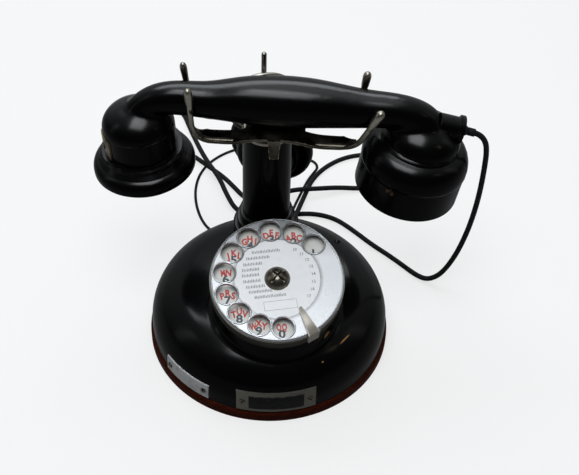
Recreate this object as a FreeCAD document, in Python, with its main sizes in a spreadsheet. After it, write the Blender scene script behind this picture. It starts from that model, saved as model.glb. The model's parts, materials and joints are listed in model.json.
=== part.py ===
import FreeCAD, Part
import math
import os
import Sketcher
from types import SimpleNamespace
from FreeCAD import Placement, Rotation, Vector

# Antique desk telephone with a dial turret, a column, a fork and handset, and a second earpiece.
# Millimetres, +Z up, origin at the centre of the wooden foot on the table, front towards -Y.

# Driving dimensions. Lengths in mm, angles in degrees.
SIZES = {
    # Wooden foot and black shell
    "base_diameter": 168,
    "wood_thickness": 8,
    "wood_edge": 3,
    "skirt_setback": 1.6,
    "skirt_top": 16,
    "shoulder_radius": 32,
    "dome_height": 52,
    "shell_wall": 2.5,
    "base_screw_circle": 116,
    "base_screw_diameter": 4,
    "base_screw_head": 8,
    "base_screw_sink": 3.5,
    "base_screw_bite": 12,
    "boss_diameter": 10,
    # Dial turret and dial
    "dial_x": 2.5,
    "dial_y": -29,
    "dial_z": 81.5,
    "dial_tilt": 18,
    "turret_diameter": 84,
    "turret_foot_y": -27,
    "turret_foot_z": 34,
    "turret_fillet": 6,
    "dial_diameter": 88.2,
    "wheel_thickness": 2,
    "finger_holes": 10,
    "finger_hole_diameter": 14.4,
    "finger_hole_circle": 70,
    "finger_hole_pitch": 25.56,
    "first_hole_angle": 42.8,
    "card_diameter": 56.4,
    "card_thickness": 0.4,
    "card_recess": 0.6,
    "finger_depth": 4,
    "number_plate_thickness": 1.2,
    "dial_case_depth": 11.5,
    "dial_case_wall": 1.5,
    "dial_ledge": 2.4,
    "wheel_clearance": 0.4,
    "scallop_clearance": 0.6,
    "spigot_depth": 3,
    "dial_bush_wall": 3,
    "centre_screw_diameter": 17,
    "centre_screw_height": 5.6,
    "centre_screw_slot": 1.3,
    "centre_screw_shank": 4.8,
    "spindle_diameter": 8,
    "spindle_flange": 16,
    "stop_angle": -62.5,
    "stop_tip_angle": -59,
    "stop_width": 8,
    "stop_tip_width": 2.2,
    "stop_tip_radius": 25.5,
    "stop_thickness": 1.5,
    "stop_leg": 10,
    "stop_clearance": 0.7,
    "gear_module": 0.9,
    "gear_teeth": 48,
    "pinion_teeth": 12,
    "gear_thickness": 2,
    "mesh_backlash": 0.2,
    "dial_space": 10,
    "back_plate_diameter": 69,
    "back_plate_thickness": 1.5,
    "pillar_diameter": 5,
    "pillar_circle": 66,
    "arbor_diameter": 3,
    "weights_diameter": 15,
    "weights_thickness": 2,
    "dial_spring_inside": 13,
    "dial_spring_pitch": 2.2,
    "dial_spring_turns": 4,
    "dial_spring_strip": 0.5,
    "dial_spring_height": 2,
    # Column
    "column_y": 42,
    "column_diameter": 32.8,
    "column_wall": 2.5,
    "column_seat": 55,
    "column_top": 148,
    "collar_diameter": 46,
    "collar_top": 65,
    "collar_second_diameter": 41.2,
    "collar_second_top": 71,
    "collar_neck_diameter": 36.8,
    "collar_neck_top": 77,
    "collar_round": 1.5,
    "wire_passage": 22,
    "bush_depth": 10,
    "bush_flange": 2.5,
    # Fork and plunger
    "cradle_turn": -7.5,
    "cradle_shift": 5.5,
    "cradle_top": 155.5,
    "cradle_lift": 7,
    "fork_thickness": 2.2,
    "fork_depth": 36.6,
    "hub_half_width": 13,
    "bar_width": 12.5,
    "bar_end_width": 11,
    "bar_taper": 8,
    "bar_dip": 4,
    "bar_dip_x": 27,
    "prong_x": 52.5,
    "prong_y": 15.5,
    "prong_diameter": 3.8,
    "prong_bend": 13,
    "prong_rise": 38.5,
    "prong_lean": 2.6,
    "back_prong_x": 55,
    "back_prong_shift": -2,
    "back_prong_rise": 35,
    "back_prong_lean": 4.5,
    "bent_prong_rise": 28.5,
    "bent_prong_lean": 14,
    "tongue_width": 8.4,
    "tongue_tip_width": 6,
    "tongue_drop": 15,
    "tongue_thickness": 1.6,
    "plunger_diameter": 10,
    "plunger_collar": 16,
    "plunger_guide": 30,
    "spring_seat_diameter": 18,
    "spring_seat_thickness": 1.6,
    "spring_ledge": 2,
    "spring_ledge_hole": 7.6,
    "plunger_tail_diameter": 5,
    "plunger_bottom": 46,
    "plunger_tip_diameter": 8,
    "plunger_tip_height": 4,
    "plunger_spring_diameter": 16,
    "plunger_spring_wire": 1.6,
    "plunger_spring_turns": 5,
    "plunger_spring_bottom": 82,
    # Hook for the second earpiece
    "clamp_bottom": 134,
    "clamp_height": 10,
    "clamp_wall": 2.2,
    "clamp_reach": 8,
    "hook_rod": 3.6,
    "hook_rise_y": 67,
    "hook_crest": 166.4,
    "hook_crook_y": 80,
    "hook_crook": 161.9,
    "hook_tip": 182.5,
    "hook_lug_width": 9,
    # Plates and small screws
    "plate_bottom": 9.5,
    "front_plate_length": 53,
    "front_plate_height": 17,
    "front_plate_angle": -90.6,
    "front_panel_length": 37,
    "front_panel_height": 11.5,
    "side_plate_length": 39,
    "side_plate_height": 12.5,
    "side_plate_angle": -136.8,
    "plate_thickness": 0.9,
    "panel_thickness": 0.3,
    "plate_screw_diameter": 4,
    "plate_screw_height": 0.8,
    "dome_screw_angle": 36,
    "dome_screw_circle": 126,
    "dome_screw_diameter": 5,
    "dome_screw_height": 1.6,
    # Handset
    "handset_shift": 8,
    "rest_gap": 0.3,
    "handle_mid_diameter": 33.4,
    "handle_left_diameter": 21.2,
    "handle_right_diameter": 24.4,
    "receiver_x": -93,
    "receiver_drop": 24.8,
    "receiver_tilt": -4,
    "receiver_case_diameter": 48,
    "receiver_case_height": 18.4,
    "receiver_wall": 2.6,
    "receiver_dome": 16.8,
    "receiver_cap_diameter": 68.8,
    "receiver_cap_neck": 56,
    "receiver_cap_height": 18.6,
    "ear_hole": 9,
    "diaphragm_thickness": 0.5,
    "diaphragm_play": 0.4,
    "diaphragm_diameter": 40,
    "magnet_diameter": 28,
    "magnet_height": 11.5,
    "magnet_pole": 3,
    "pole_thickness": 3,
    "pole_width": 8,
    "pole_spread": 5,
    "receiver_plate_angle": 205,
    "receiver_plate_width": 17,
    "receiver_plate_height": 15,
    "transmitter_x": 89.8,
    "transmitter_drop": 44.2,
    "transmitter_tilt": 8.5,
    "transmitter_cap_diameter": 70.6,
    "transmitter_cap_height": 23.6,
    "transmitter_wall": 3,
    "bell_height": 20,
    "bell_offset": 0.8,
    "bell_ring_diameter": 52.4,
    "bell_ring_height": 2.4,
    "head_diameter": 51,
    "head_dome": 17,
    "capsule_diameter": 60,
    "capsule_height": 14,
    "mouth_hole": 5,
    "mouth_hole_circle": 26,
    "transmitter_screw_angle": 243,
    "transmitter_screw_diameter": 6,
    "transmitter_screw_drop": 3.4,
    "cord_boss_x": 102.3,
    "cord_boss_drop": 12,
    "cord_boss_slope": 13,
    "cord_boss_diameter": 15.8,
    "cord_boss_length": 16.4,
    "cord_boss_rim": 18.8,
    "cord_boss_rim_length": 2.4,
    "cord_grip_diameter": 7.2,
    "cord_grip_length": 4,
    # Second earpiece
    "earpiece_turn": -24,
    "ring_turn": 6,
    "earpiece_case_diameter": 42,
    "earpiece_case_depth": 9.5,
    "earpiece_round": 6,
    "earpiece_cap_diameter": 62,
    "earpiece_cap_depth": 13,
    "earpiece_lip": 2.5,
    "earpiece_wall": 2.6,
    "earpiece_magnet_height": 3.6,
    "earpiece_magnet_pole": 1.8,
    "ring_diameter": 52,
    "ring_wire": 3,
    "ring_back_set": 6.5,
    "ring_clearance": 0.4,
    "lug_width": 4,
    "lug_wall": 2.4,
    "earpiece_grip_length": 8,
    "grip_tip_wall": 0.4,
    "earpiece_grip_diameter": 5,
    # Parts inside the base
    "coil_diameter": 26,
    "coil_length": 46,
    "coil_flange": 3,
    "coil_x": -46,
    "core_diameter": 9,
    "core_overhang": 6,
    "condenser_length": 48,
    "condenser_width": 20,
    "condenser_height": 27,
    "condenser_x": 41,
    "terminal_length": 56,
    "terminal_width": 12,
    "terminal_height": 10,
    "terminal_setback": 18.4,
    "terminal_count": 6,
    "terminal_screw_diameter": 5,
    "terminal_screw_height": 3,
    "bracket_width": 12,
    "bracket_depth": 10,
    "bracket_y": 26,
    "blade_length": 17,
    "blade_width": 6,
    "blade_thickness": 0.6,
    "blade_spacing": 4,
    # Cords and glands
    "handset_cord_diameter": 3.8,
    "earpiece_cord_diameter": 2.2,
    "gland_z": 12,
    "handset_gland_angle": 75.5,
    "earpiece_gland_angle": 82.5,
    "gland_neck": 5.4,
    "gland_flange": 7,
    "gland_flange_length": 3,
    # Clearances
    "running_fit": 0.05,
    "seat_fit": 0.05,
    "end_play": 0.3,
}


class Dim:
    """A size with its value in mm and the sheet expression that gives it."""

    def __init__(self, value, text):
        self.value = value
        self.text = text

    def join(self, other, sign, value):
        text = other.text if isinstance(other, Dim) else repr(other)
        return Dim(value, f"({self.text} {sign} {text})")

    def __add__(self, other):
        return self.join(other, "+", self.value + number(other))

    def __sub__(self, other):
        return self.join(other, "-", self.value - number(other))

    def __mul__(self, other):
        return self.join(other, "*", self.value * number(other))

    def __truediv__(self, other):
        return self.join(other, "/", self.value / number(other))

    def __neg__(self):
        return Dim(-self.value, f"(-{self.text})")


def number(size):
    """The plain value of a Dim or of a number."""
    return size.value if isinstance(size, Dim) else size


doc = FreeCAD.newDocument("telephone")
sheet = doc.addObject("Spreadsheet::Sheet", "sizes")
for row, (alias, value) in enumerate(SIZES.items(), start=1):
    sheet.set(f"A{row}", alias)
    sheet.set(f"B{row}", str(value))
    sheet.setAlias(f"B{row}", alias)
doc.recompute()
D = SimpleNamespace(**{alias: Dim(value, f"sizes.{alias}") for alias, value in SIZES.items()})
V = SimpleNamespace(**SIZES)
X_AXIS = Vector(1, 0, 0)
Y_AXIS = Vector(0, 1, 0)
Z_AXIS = Vector(0, 0, 1)
nodes = {}


# Drawing helpers

def bind(thing, name, size):
    """Set a property, tied to the sheet when the size is a Dim."""
    if isinstance(size, Dim):
        thing.setExpression(name, size.text)
    else:
        setattr(thing, name, size)


def keep(label, thing):
    """Record a finished sub-part under its node name."""
    thing.Label = label
    nodes[label] = thing
    return thing


def at(x=0.0, y=0.0, z=0.0, axis=Z_AXIS, angle=0.0):
    """A place at x, y, z turned about an axis."""
    return Placement(Vector(x, y, z), Rotation(axis, angle))


def attach(sketch, body, role):
    """Lay a sketch on one of its own body's origin planes."""
    plane = [feature for feature in body.Origin.OriginFeatures if feature.Role == role][0]
    sketch.AttachmentSupport = [(plane, "")]
    sketch.MapMode = "FlatFace"


def pin_point(sketch, geometry, end, x, y, index):
    """Hold one end of a line or arc at x, y from the sketch origin."""
    for kind, size, axis, name in (("DistanceX", x, -2, f"x{index}"), ("DistanceY", y, -1, f"y{index}")):
        if not isinstance(size, Dim) and size == 0:
            sketch.addConstraint(Sketcher.Constraint("PointOnObject", geometry, end, axis))
            continue
        place = sketch.addConstraint(Sketcher.Constraint(kind, -1, 1, geometry, end, number(size)))
        if isinstance(size, Dim):
            sketch.renameConstraint(place, name)
            sketch.setExpression(f"Constraints.{name}", size.text)


def draw(sketch, outline):
    """Draw a closed outline of corners (x, y) or (x, y, radius, turn), an arc to the next corner."""
    corners = [Vector(number(corner[0]), number(corner[1]), 0) for corner in outline]
    edges = []
    for index, corner in enumerate(outline):
        start = corners[index]
        end = corners[(index + 1) % len(corners)]
        if len(corner) == 2:
            edges.append((sketch.addGeometry(Part.LineSegment(start, end)), 1, 2))
            continue
        radius, turn = number(corner[2]), corner[3]
        chord = end - start
        across = Vector(-chord.y, chord.x, 0).normalize()
        reach = math.sqrt(max(radius ** 2 - (chord.Length / 2) ** 2, 0))
        centre = start + chord / 2 + across * (reach * turn)
        first, last = (start, end) if turn > 0 else (end, start)
        angles = [math.atan2(point.y - centre.y, point.x - centre.x) for point in (first, last)]
        arc = sketch.addGeometry(Part.ArcOfCircle(Part.Circle(centre, Z_AXIS, radius), *angles))
        edges.append((arc, 1, 2) if turn > 0 else (arc, 2, 1))
        if reach > 0.001 * radius:
            place = sketch.addConstraint(Sketcher.Constraint("Radius", arc, radius))
            if isinstance(corner[2], Dim):
                sketch.renameConstraint(place, f"r{index}")
                sketch.setExpression(f"Constraints.r{index}", corner[2].text)
    for index, (edge, start, end) in enumerate(edges):
        before = edges[index - 1]
        sketch.addConstraint(Sketcher.Constraint("Coincident", before[0], before[2], edge, start))
        pin_point(sketch, edge, start, outline[index][0], outline[index][1], index)


def new_body(label, outline, role):
    """A body with its first sketch."""
    body = doc.addObject("PartDesign::Body", label)
    sketch = body.newObject("Sketcher::SketchObject", f"{label}_outline")
    attach(sketch, body, role)
    draw(sketch, outline)
    return body, sketch


def turned(label, outline, place):
    """A turned piece: an outline of (radius, height) revolved about its own Z axis."""
    body, sketch = new_body(label, outline, "XZ_Plane")
    turn = body.newObject("PartDesign::Revolution", f"{label}_turn")
    turn.Profile = sketch
    turn.ReferenceAxis = (sketch, ["V_Axis"])
    turn.Angle = 360
    body.Placement = place
    doc.recompute()
    return body


def drill(body, label, x, y, diameter, depth, count=1, spacing=0.0):
    """Drill round holes upward from the body's XY plane, repeated about its Z axis."""
    before = body.Shape.Volume
    sketch = body.newObject("Sketcher::SketchObject", f"{label}_sketch")
    attach(sketch, body, "XY_Plane")
    circle = sketch.addGeometry(Part.Circle(Vector(number(x), number(y), 0), Z_AXIS, number(diameter) / 2))
    pin_point(sketch, circle, 3, x, y, 0)
    place = sketch.addConstraint(Sketcher.Constraint("Diameter", circle, number(diameter)))
    sketch.renameConstraint(place, "bore")
    if isinstance(diameter, Dim):
        sketch.setExpression("Constraints.bore", diameter.text)
    pocket = body.newObject("PartDesign::Pocket", label)
    pocket.Profile = sketch
    pocket.Reversed = True
    bind(pocket, "Length", depth)
    doc.recompute()
    if count > 1:
        ring = body.newObject("PartDesign::PolarPattern", f"{label}_ring")
        ring.Originals = [pocket]
        ring.Axis = (sketch, ["N_Axis"])
        ring.Occurrences = count
        ring.Angle = 360 if spacing == 0 else spacing * (count - 1)
        body.Tip = ring
        doc.recompute()
    assert body.Shape.Volume < before - 0.01, f"{label} cut nothing"


def cylinder(label, diameter, height, place):
    """A plain round bar standing on its place."""
    bar = doc.addObject("Part::Cylinder", label)
    bind(bar, "Radius", diameter / 2)
    bind(bar, "Height", height)
    bar.Placement = place
    return bar


def block(label, length, width, height, place):
    """A plain block, with its corner at its place."""
    bar = doc.addObject("Part::Box", label)
    bind(bar, "Length", length)
    bind(bar, "Width", width)
    bind(bar, "Height", height)
    bar.Placement = place
    return bar


def cut(label, base, tool):
    """One piece less another."""
    result = doc.addObject("Part::Cut", label)
    result.Base = base
    result.Tool = tool
    doc.recompute()
    return result


def fuse(label, pieces):
    """Several shapes joined into one piece."""
    result = doc.addObject("Part::MultiFuse", label)
    result.Shapes = pieces
    doc.recompute()
    return result


def feature(label, shape, place=None):
    """A piece whose shape is worked out below."""
    result = doc.addObject("Part::Feature", label)
    result.Shape = shape
    if place is not None:
        result.Placement = place
    return result


def group(label, pieces):
    """Like pieces kept together as separate solids."""
    doc.recompute()
    return feature(label, Part.makeCompound([piece.Shape for piece in pieces]))


def circle_wire(radius, place):
    """A circle square to the Z axis of its place."""
    wire = Part.Wire([Part.makeCircle(radius)])
    wire.Placement = place
    return wire


def rounded_path(points, share=0.45, bend=None):
    """Straight runs joined by tangent arcs, as large as the runs allow or of a set bend radius."""
    edges = []
    radii = []
    start = points[0]
    for before, corner, after in zip(points, points[1:], points[2:]):
        inward = (before - corner).normalize()
        outward = (after - corner).normalize()
        half_turn = (math.pi - inward.getAngle(outward)) / 2
        shorter = min((corner - before).Length, (after - corner).Length)
        back = bend * math.tan(half_turn) if bend else share * shorter
        radii.append(back / math.tan(half_turn))
        enter = corner + inward * back
        leave = corner + outward * back
        middle = (inward + outward).normalize()
        centre = corner + middle * (radii[-1] / math.cos(half_turn))
        via = centre - middle * radii[-1]
        edges.append(Part.LineSegment(start, enter).toShape())
        edges.append(Part.Arc(enter, via, leave).toShape())
        start = leave
    edges.append(Part.LineSegment(start, points[-1]).toShape())
    return Part.Wire(edges), radii


def rod_along(points, diameter, share=0.45, bend=None):
    """A round rod or cord along a rounded path."""
    path, radii = rounded_path(points, share, bend)
    along = (points[1] - points[0]).normalize()
    section = Part.Wire([Part.makeCircle(diameter / 2, points[0], along)])
    rod = path.makePipeShell([section], True, False)
    expected = math.pi * diameter ** 2 / 4 * path.Length
    assert abs(rod.Volume - expected) < 0.02 * expected, "rod volume differs from section times length"
    return rod, radii, path.Length


# Wooden foot and its screws
base_radius = D.base_diameter / 2
foot = turned("wood_base", [
    (0, 0),
    (base_radius, 0),
    (base_radius, D.wood_thickness - D.wood_edge, D.wood_edge, 1),
    (base_radius - D.wood_edge, D.wood_thickness),
    (0, D.wood_thickness),
], at())
screw_count = 3
screw_reach = D.base_screw_circle / 2
sink_diameter = D.base_screw_head + D.seat_fit * 4
hole_diameter = D.base_screw_diameter + D.seat_fit * 4
drill(foot, "wood_screw_sinks", screw_reach, 0, sink_diameter, D.base_screw_sink, screw_count)
drill(foot, "wood_screw_holes", screw_reach, 0, hole_diameter, D.wood_thickness, screw_count)
keep("wood_base", foot)


def around(count, radius, start=0.0):
    """Places evenly spaced on a circle about Z."""
    return [at(0, 0, 0, Z_AXIS, start + 360 / count * index) * at(radius) for index in range(count)]


base_screws = []
for index, place in enumerate(around(screw_count, V.base_screw_circle / 2)):
    head_top = D.base_screw_sink
    screw = turned(f"base_screw_{index}", [
        (0, head_top - 2.5),
        (D.base_screw_head / 2, head_top - 2.5),
        (D.base_screw_head / 2, head_top),
        (D.base_screw_diameter / 2, head_top),
        (D.base_screw_diameter / 2, D.wood_thickness + D.base_screw_bite),
        (0, D.wood_thickness + D.base_screw_bite),
    ], place)
    base_screws.append(screw)
keep("base_screws", group("base_screw_set", base_screws))

# Black shell: skirt, round shoulder, low crown and the dial turret
skirt_radius = V.base_diameter / 2 - V.skirt_setback
dial_frame = at(V.dial_x, V.dial_y, V.dial_z, X_AXIS, V.dial_tilt)
turret_seat = dial_frame * at(0, 0, -V.dial_case_depth)


def dome_solid(inset):
    """The full dome, drawn in by a wall or swelled by a negative one."""
    reach = skirt_radius - V.shoulder_radius
    rise = V.dome_height - V.skirt_top - V.shoulder_radius
    lean = math.pi / 2 - 2 * math.atan(rise / reach)
    crown = reach / math.cos(lean) + V.shoulder_radius
    floor = V.wood_thickness

    def on_shoulder(angle):
        radius = V.shoulder_radius - inset
        return Vector(reach + radius * math.cos(angle), 0, V.skirt_top + radius * math.sin(angle))

    def on_crown(angle):
        radius = crown - inset
        return Vector(radius * math.cos(angle), 0, V.dome_height - crown + radius * math.sin(angle))

    corners = [Vector(0, 0, floor), Vector(skirt_radius - inset, 0, floor), on_shoulder(0)]
    top = on_crown(math.pi / 2)
    edges = [
        Part.LineSegment(corners[0], corners[1]),
        Part.LineSegment(corners[1], corners[2]),
        Part.Arc(corners[2], on_shoulder(lean / 2), on_shoulder(lean)),
        Part.Arc(on_shoulder(lean), on_crown((lean + math.pi / 2) / 2), top),
        Part.LineSegment(top, corners[0]),
    ]
    face = Part.Face(Part.Wire([edge.toShape() for edge in edges]))
    return face.revolve(Vector(), Z_AXIS, 360)


def turret_solid(inset, overlap):
    """The neck that carries the dial, from inside the dome to the tilted seat."""
    radius = V.turret_diameter / 2 - inset
    low = circle_wire(radius, at(V.dial_x, V.turret_foot_y, V.turret_foot_z - overlap))
    neck = Part.makeLoft([low, circle_wire(radius, turret_seat)], True, True)
    if overlap:
        mouth = Part.makeCylinder(radius, overlap)
        mouth.Placement = turret_seat
        neck = neck.fuse(mouth)
    return neck


NECK_SHARE = 0.46
outer = dome_solid(0).fuse(turret_solid(0, 0)).removeSplitter()
neck_edges = [edge for edge in outer.Edges if isinstance(edge.Curve, Part.BSplineCurve)]
neck_room = skirt_radius + V.turret_foot_y - V.turret_diameter / 2
outer = outer.makeFillet(min(V.turret_fillet, neck_room * NECK_SHARE), neck_edges)
inner = dome_solid(V.shell_wall).fuse(turret_solid(V.shell_wall, 2 * V.shell_wall))
bosses = []
boss_holes = []
for place in around(screw_count, V.base_screw_circle / 2):
    foot_place = place * at(0, 0, V.wood_thickness)
    boss = Part.makeCylinder(V.boss_diameter / 2, V.dome_height - V.wood_thickness)
    boss.Placement = foot_place
    bosses.append(boss.common(dome_solid(V.shell_wall / 2)))
    hole = Part.makeCylinder(V.base_screw_diameter / 2 + V.seat_fit, V.base_screw_bite + V.end_play)
    hole.Placement = foot_place
    boss_holes.append(hole)
shell = outer.cut(inner)
for boss in bosses:
    shell = shell.fuse(boss)
for hole in boss_holes:
    shell = shell.cut(hole)
passage = Part.makeCylinder(V.wire_passage / 2, V.dome_height, Vector(0, V.column_y, V.dome_height / 2))
shell = shell.cut(passage)
gland_frames = {}
for name, angle in (("handset", V.handset_gland_angle), ("earpiece", V.earpiece_gland_angle)):
    out = at(0, 0, V.gland_z, Z_AXIS, angle) * at(skirt_radius, 0, 0, Y_AXIS, 90)
    gland_frames[name] = out
    neck_hole = Part.makeCylinder(V.gland_neck / 2 + V.seat_fit, 6 * V.shell_wall)
    neck_hole.Placement = out * at(0, 0, -3 * V.shell_wall)
    shell = shell.cut(neck_hole)
keep("dome_shell", feature("shell", shell.removeSplitter()))
dome_form = feature("dome_form", outer)

# Column: stepped collar, tube and the bush that guides the plunger
column_frame = at(0, V.column_y, 0)
column_radius = D.column_diameter / 2
column_bore = column_radius + D.seat_fit
collar = turned("collar", [
    (D.wire_passage / 2, D.dome_height / 2),
    (D.collar_diameter / 2, D.dome_height / 2),
    (D.collar_diameter / 2, D.collar_top - D.collar_round, D.collar_round, 1),
    (D.collar_diameter / 2 - D.collar_round, D.collar_top),
    (D.collar_second_diameter / 2, D.collar_top),
    (D.collar_second_diameter / 2, D.collar_second_top - D.collar_round / 2, D.collar_round / 2, 1),
    (D.collar_second_diameter / 2 - D.collar_round / 2, D.collar_second_top),
    (D.collar_neck_diameter / 2, D.collar_second_top),
    (D.collar_neck_diameter / 2, D.collar_neck_top - D.collar_round / 2, D.collar_round / 2, 1),
    (D.collar_neck_diameter / 2 - D.collar_round / 2, D.collar_neck_top),
    (column_bore, D.collar_neck_top),
    (column_bore, D.column_seat),
    (D.wire_passage / 2, D.column_seat),
], column_frame)
keep("column_foot", cut("collar_on_dome", collar, dome_form))
column_inside = column_radius - D.column_wall
ledge_up = D.plunger_spring_bottom - D.plunger_spring_wire / 2 - D.end_play
keep("column_tube", turned("tube", [
    (column_inside, D.column_seat),
    (column_radius, D.column_seat),
    (column_radius, D.column_top),
    (column_inside, D.column_top),
    (column_inside, ledge_up),
    (D.spring_ledge_hole / 2, ledge_up),
    (D.spring_ledge_hole / 2, ledge_up - D.spring_ledge),
    (column_inside, ledge_up - D.spring_ledge),
], column_frame))
bush_bore = D.plunger_diameter / 2 + D.running_fit
keep("column_bush", turned("bush", [
    (bush_bore, D.column_top - D.bush_depth),
    (column_inside - D.seat_fit, D.column_top - D.bush_depth),
    (column_inside - D.seat_fit, D.column_top),
    (column_radius, D.column_top),
    (column_radius, D.column_top + D.bush_flange - 1, D.bush_flange / 2.5, 1),
    (column_radius - 1, D.column_top + D.bush_flange),
    (bush_bore, D.column_top + D.bush_flange),
], column_frame))

# Hook: a saddle on the back of the column with a bent rod for the second earpiece's ring
saddle = Part.makeCylinder(column_radius.value + V.seat_fit + V.clamp_wall, V.clamp_height)
saddle_lug = Part.makeBox(V.hook_lug_width, V.column_diameter / 2 + 2 * V.clamp_wall, V.clamp_height)
saddle_lug.Placement = at(-V.hook_lug_width / 2, 0, 0)
saddle_bore = Part.makeCylinder(column_radius.value + V.seat_fit, V.clamp_height)
saddle_window = Part.makeBox(V.column_diameter * 2, V.column_diameter, V.clamp_height)
saddle_window.Placement = at(-V.column_diameter, V.clamp_reach, 0)
saddle = saddle.fuse(saddle_lug).cut(saddle_bore).common(saddle_window)
saddle.Placement = at(0, V.column_y, V.clamp_bottom)
clamp_middle = V.clamp_bottom + V.clamp_height / 2
hook_root = V.column_y + V.column_diameter / 2 + V.clamp_wall
hook_points = [
    Vector(0, hook_root, clamp_middle),
    Vector(0, V.hook_rise_y, clamp_middle),
    Vector(0, V.hook_rise_y, V.hook_crest),
    Vector(0, V.hook_crook_y, V.hook_crook),
    Vector(0, V.hook_crook_y, V.hook_tip - V.hook_rod / 2),
]
hook_rod = rod_along(hook_points, V.hook_rod, bend=V.hook_rod)[0]
hook_end = Part.makeSphere(V.hook_rod / 2, hook_points[-1])
keep("hook_bracket", feature("hook", saddle.fuse(hook_rod).fuse(hook_end).removeSplitter()))

# Dial case, number plate, finger stop and bush, all square to the tilted dial axis
dial_radius = D.dial_diameter / 2
plate_top = -(D.wheel_thickness + D.finger_depth)
ledge_top = plate_top - D.number_plate_thickness
case_floor = -D.dial_case_depth
case_radius = dial_radius + D.wheel_clearance
case_inside = case_radius - D.dial_case_wall
bush_radius = D.spindle_diameter / 2 + D.dial_bush_wall
spigot_lean = D.spigot_depth * math.tan(math.radians(V.dial_tilt))
spigot_radius = D.turret_diameter / 2 - D.shell_wall - spigot_lean - D.end_play * 2
keep("dial_case", turned("case", [
    (bush_radius, case_floor),
    (spigot_radius - D.dial_case_wall, case_floor),
    (spigot_radius - D.dial_case_wall, case_floor - D.spigot_depth),
    (spigot_radius, case_floor - D.spigot_depth),
    (spigot_radius, case_floor),
    (case_radius, case_floor),
    (case_radius, -D.wheel_thickness - D.wheel_clearance),
    (case_inside, -D.wheel_thickness - D.wheel_clearance),
    (case_inside, ledge_top),
    (case_inside - D.dial_ledge, ledge_top),
    (case_inside - D.dial_ledge, case_floor + D.dial_case_wall),
    (bush_radius, case_floor + D.dial_case_wall),
], dial_frame))
keep("dial_bush", turned("spindle_bush", [
    (D.spindle_diameter / 2 + D.running_fit, case_floor - 1.5),
    (bush_radius + 2, case_floor - 1.5),
    (bush_radius + 2, case_floor),
    (bush_radius - D.seat_fit, case_floor),
    (bush_radius - D.seat_fit, case_floor + D.dial_case_wall),
    (D.spindle_diameter / 2 + D.running_fit, case_floor + D.dial_case_wall),
], dial_frame))
keep("number_plate", turned("number_ring", [
    (D.spindle_flange / 2 + D.end_play * 2, ledge_top),
    (case_inside - D.seat_fit, ledge_top),
    (case_inside - D.seat_fit, plate_top),
    (D.spindle_flange / 2 + D.end_play * 2, plate_top),
], dial_frame))


def on_dial(radius, angle, side=0.0):
    """A point of the dial plane, at a radius and angle, moved sideways."""
    turn = math.radians(angle)
    out = Vector(math.cos(turn), math.sin(turn), 0)
    across_dial = Vector(-math.sin(turn), math.cos(turn), 0)
    return out * radius + across_dial * side


stop_outside = case_radius.value + V.seat_fit + V.stop_thickness
blade_corners = [
    on_dial(stop_outside, V.stop_angle, -V.stop_width / 2),
    on_dial(stop_outside, V.stop_angle, V.stop_width / 2),
    on_dial(V.stop_tip_radius, V.stop_tip_angle, V.stop_tip_width / 2),
    on_dial(V.stop_tip_radius, V.stop_tip_angle, -V.stop_tip_width / 2),
]
blade_corners.append(blade_corners[0])
blade = Part.Face(Part.makePolygon(blade_corners)).extrude(Vector(0, 0, V.stop_thickness))
blade.translate(Vector(0, 0, V.stop_clearance))
leg = Part.makeBox(V.stop_thickness, V.stop_width, V.stop_leg + V.stop_thickness)
leg.Placement = at(0, 0, 0, Z_AXIS, V.stop_angle) * at(
    stop_outside - V.stop_thickness, -V.stop_width / 2, V.stop_clearance - V.stop_leg)
case_round = Part.makeCylinder(case_radius.value + V.seat_fit, 2 * V.stop_leg, Vector(0, 0, -2 * V.stop_leg))
leg = leg.cut(case_round)
keep("finger_stop", feature("stop", blade.fuse(leg).removeSplitter(), dial_frame))

# Turning dial: wheel with finger holes, card, centre screw, spindle and gear
wheel = turned("wheel", [
    (D.centre_screw_shank / 2 + D.seat_fit, -D.wheel_thickness),
    (dial_radius, -D.wheel_thickness),
    (dial_radius, -D.wheel_thickness / 2, D.wheel_thickness / 2, 1),
    (dial_radius - D.wheel_thickness / 2, 0),
    (D.card_diameter / 2, 0),
    (D.card_diameter / 2, -D.card_recess),
    (D.centre_screw_shank / 2 + D.seat_fit, -D.card_recess),
], dial_frame)


def finger_holes(body, label, diameter, depth):
    """The ring of finger holes through a piece that turns with the dial."""
    reach = V.finger_hole_circle / 2
    tool = doc.addObject("Part::Cylinder", f"{label}_tool")
    bind(tool, "Radius", diameter / 2)
    tool.Height = depth
    doc.recompute()
    holes = []
    for index in range(V.finger_holes):
        hole = tool.Shape.copy()
        turn = V.first_hole_angle + V.finger_hole_pitch * index
        spot = at(0, 0, 0, Z_AXIS, turn) * at(reach, 0, -depth / 2)
        hole.Placement = dial_frame * spot
        holes.append(hole)
    return cut(label, body, feature(f"{label}_bores", Part.makeCompound(holes)))


keep("finger_wheel", finger_holes(wheel, "wheel_holes", D.finger_hole_diameter, 20))
card_top = -D.card_recess + D.card_thickness
card = turned("card", [
    (D.centre_screw_shank / 2 + D.seat_fit, -D.card_recess),
    (D.card_diameter / 2 - D.seat_fit, -D.card_recess),
    (D.card_diameter / 2 - D.seat_fit, card_top),
    (D.centre_screw_shank / 2 + D.seat_fit, card_top),
], dial_frame)
keep("dial_card", finger_holes(card, "card_scallops", D.finger_hole_diameter + D.scallop_clearance, 20))
screw_radius = D.centre_screw_diameter / 2
screw_rise = D.centre_screw_height
screw_dome = (screw_radius * screw_radius + screw_rise * screw_rise) / (screw_rise * 2)
shank_end = case_floor - 1
screw = turned("screw", [
    (0, shank_end),
    (D.centre_screw_shank / 2, shank_end),
    (D.centre_screw_shank / 2, card_top),
    (screw_radius, card_top, screw_dome, 1),
    (0, card_top + D.centre_screw_height),
], dial_frame)
slots = []
slot_floor = card_top.value + V.centre_screw_height * 0.6
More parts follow.
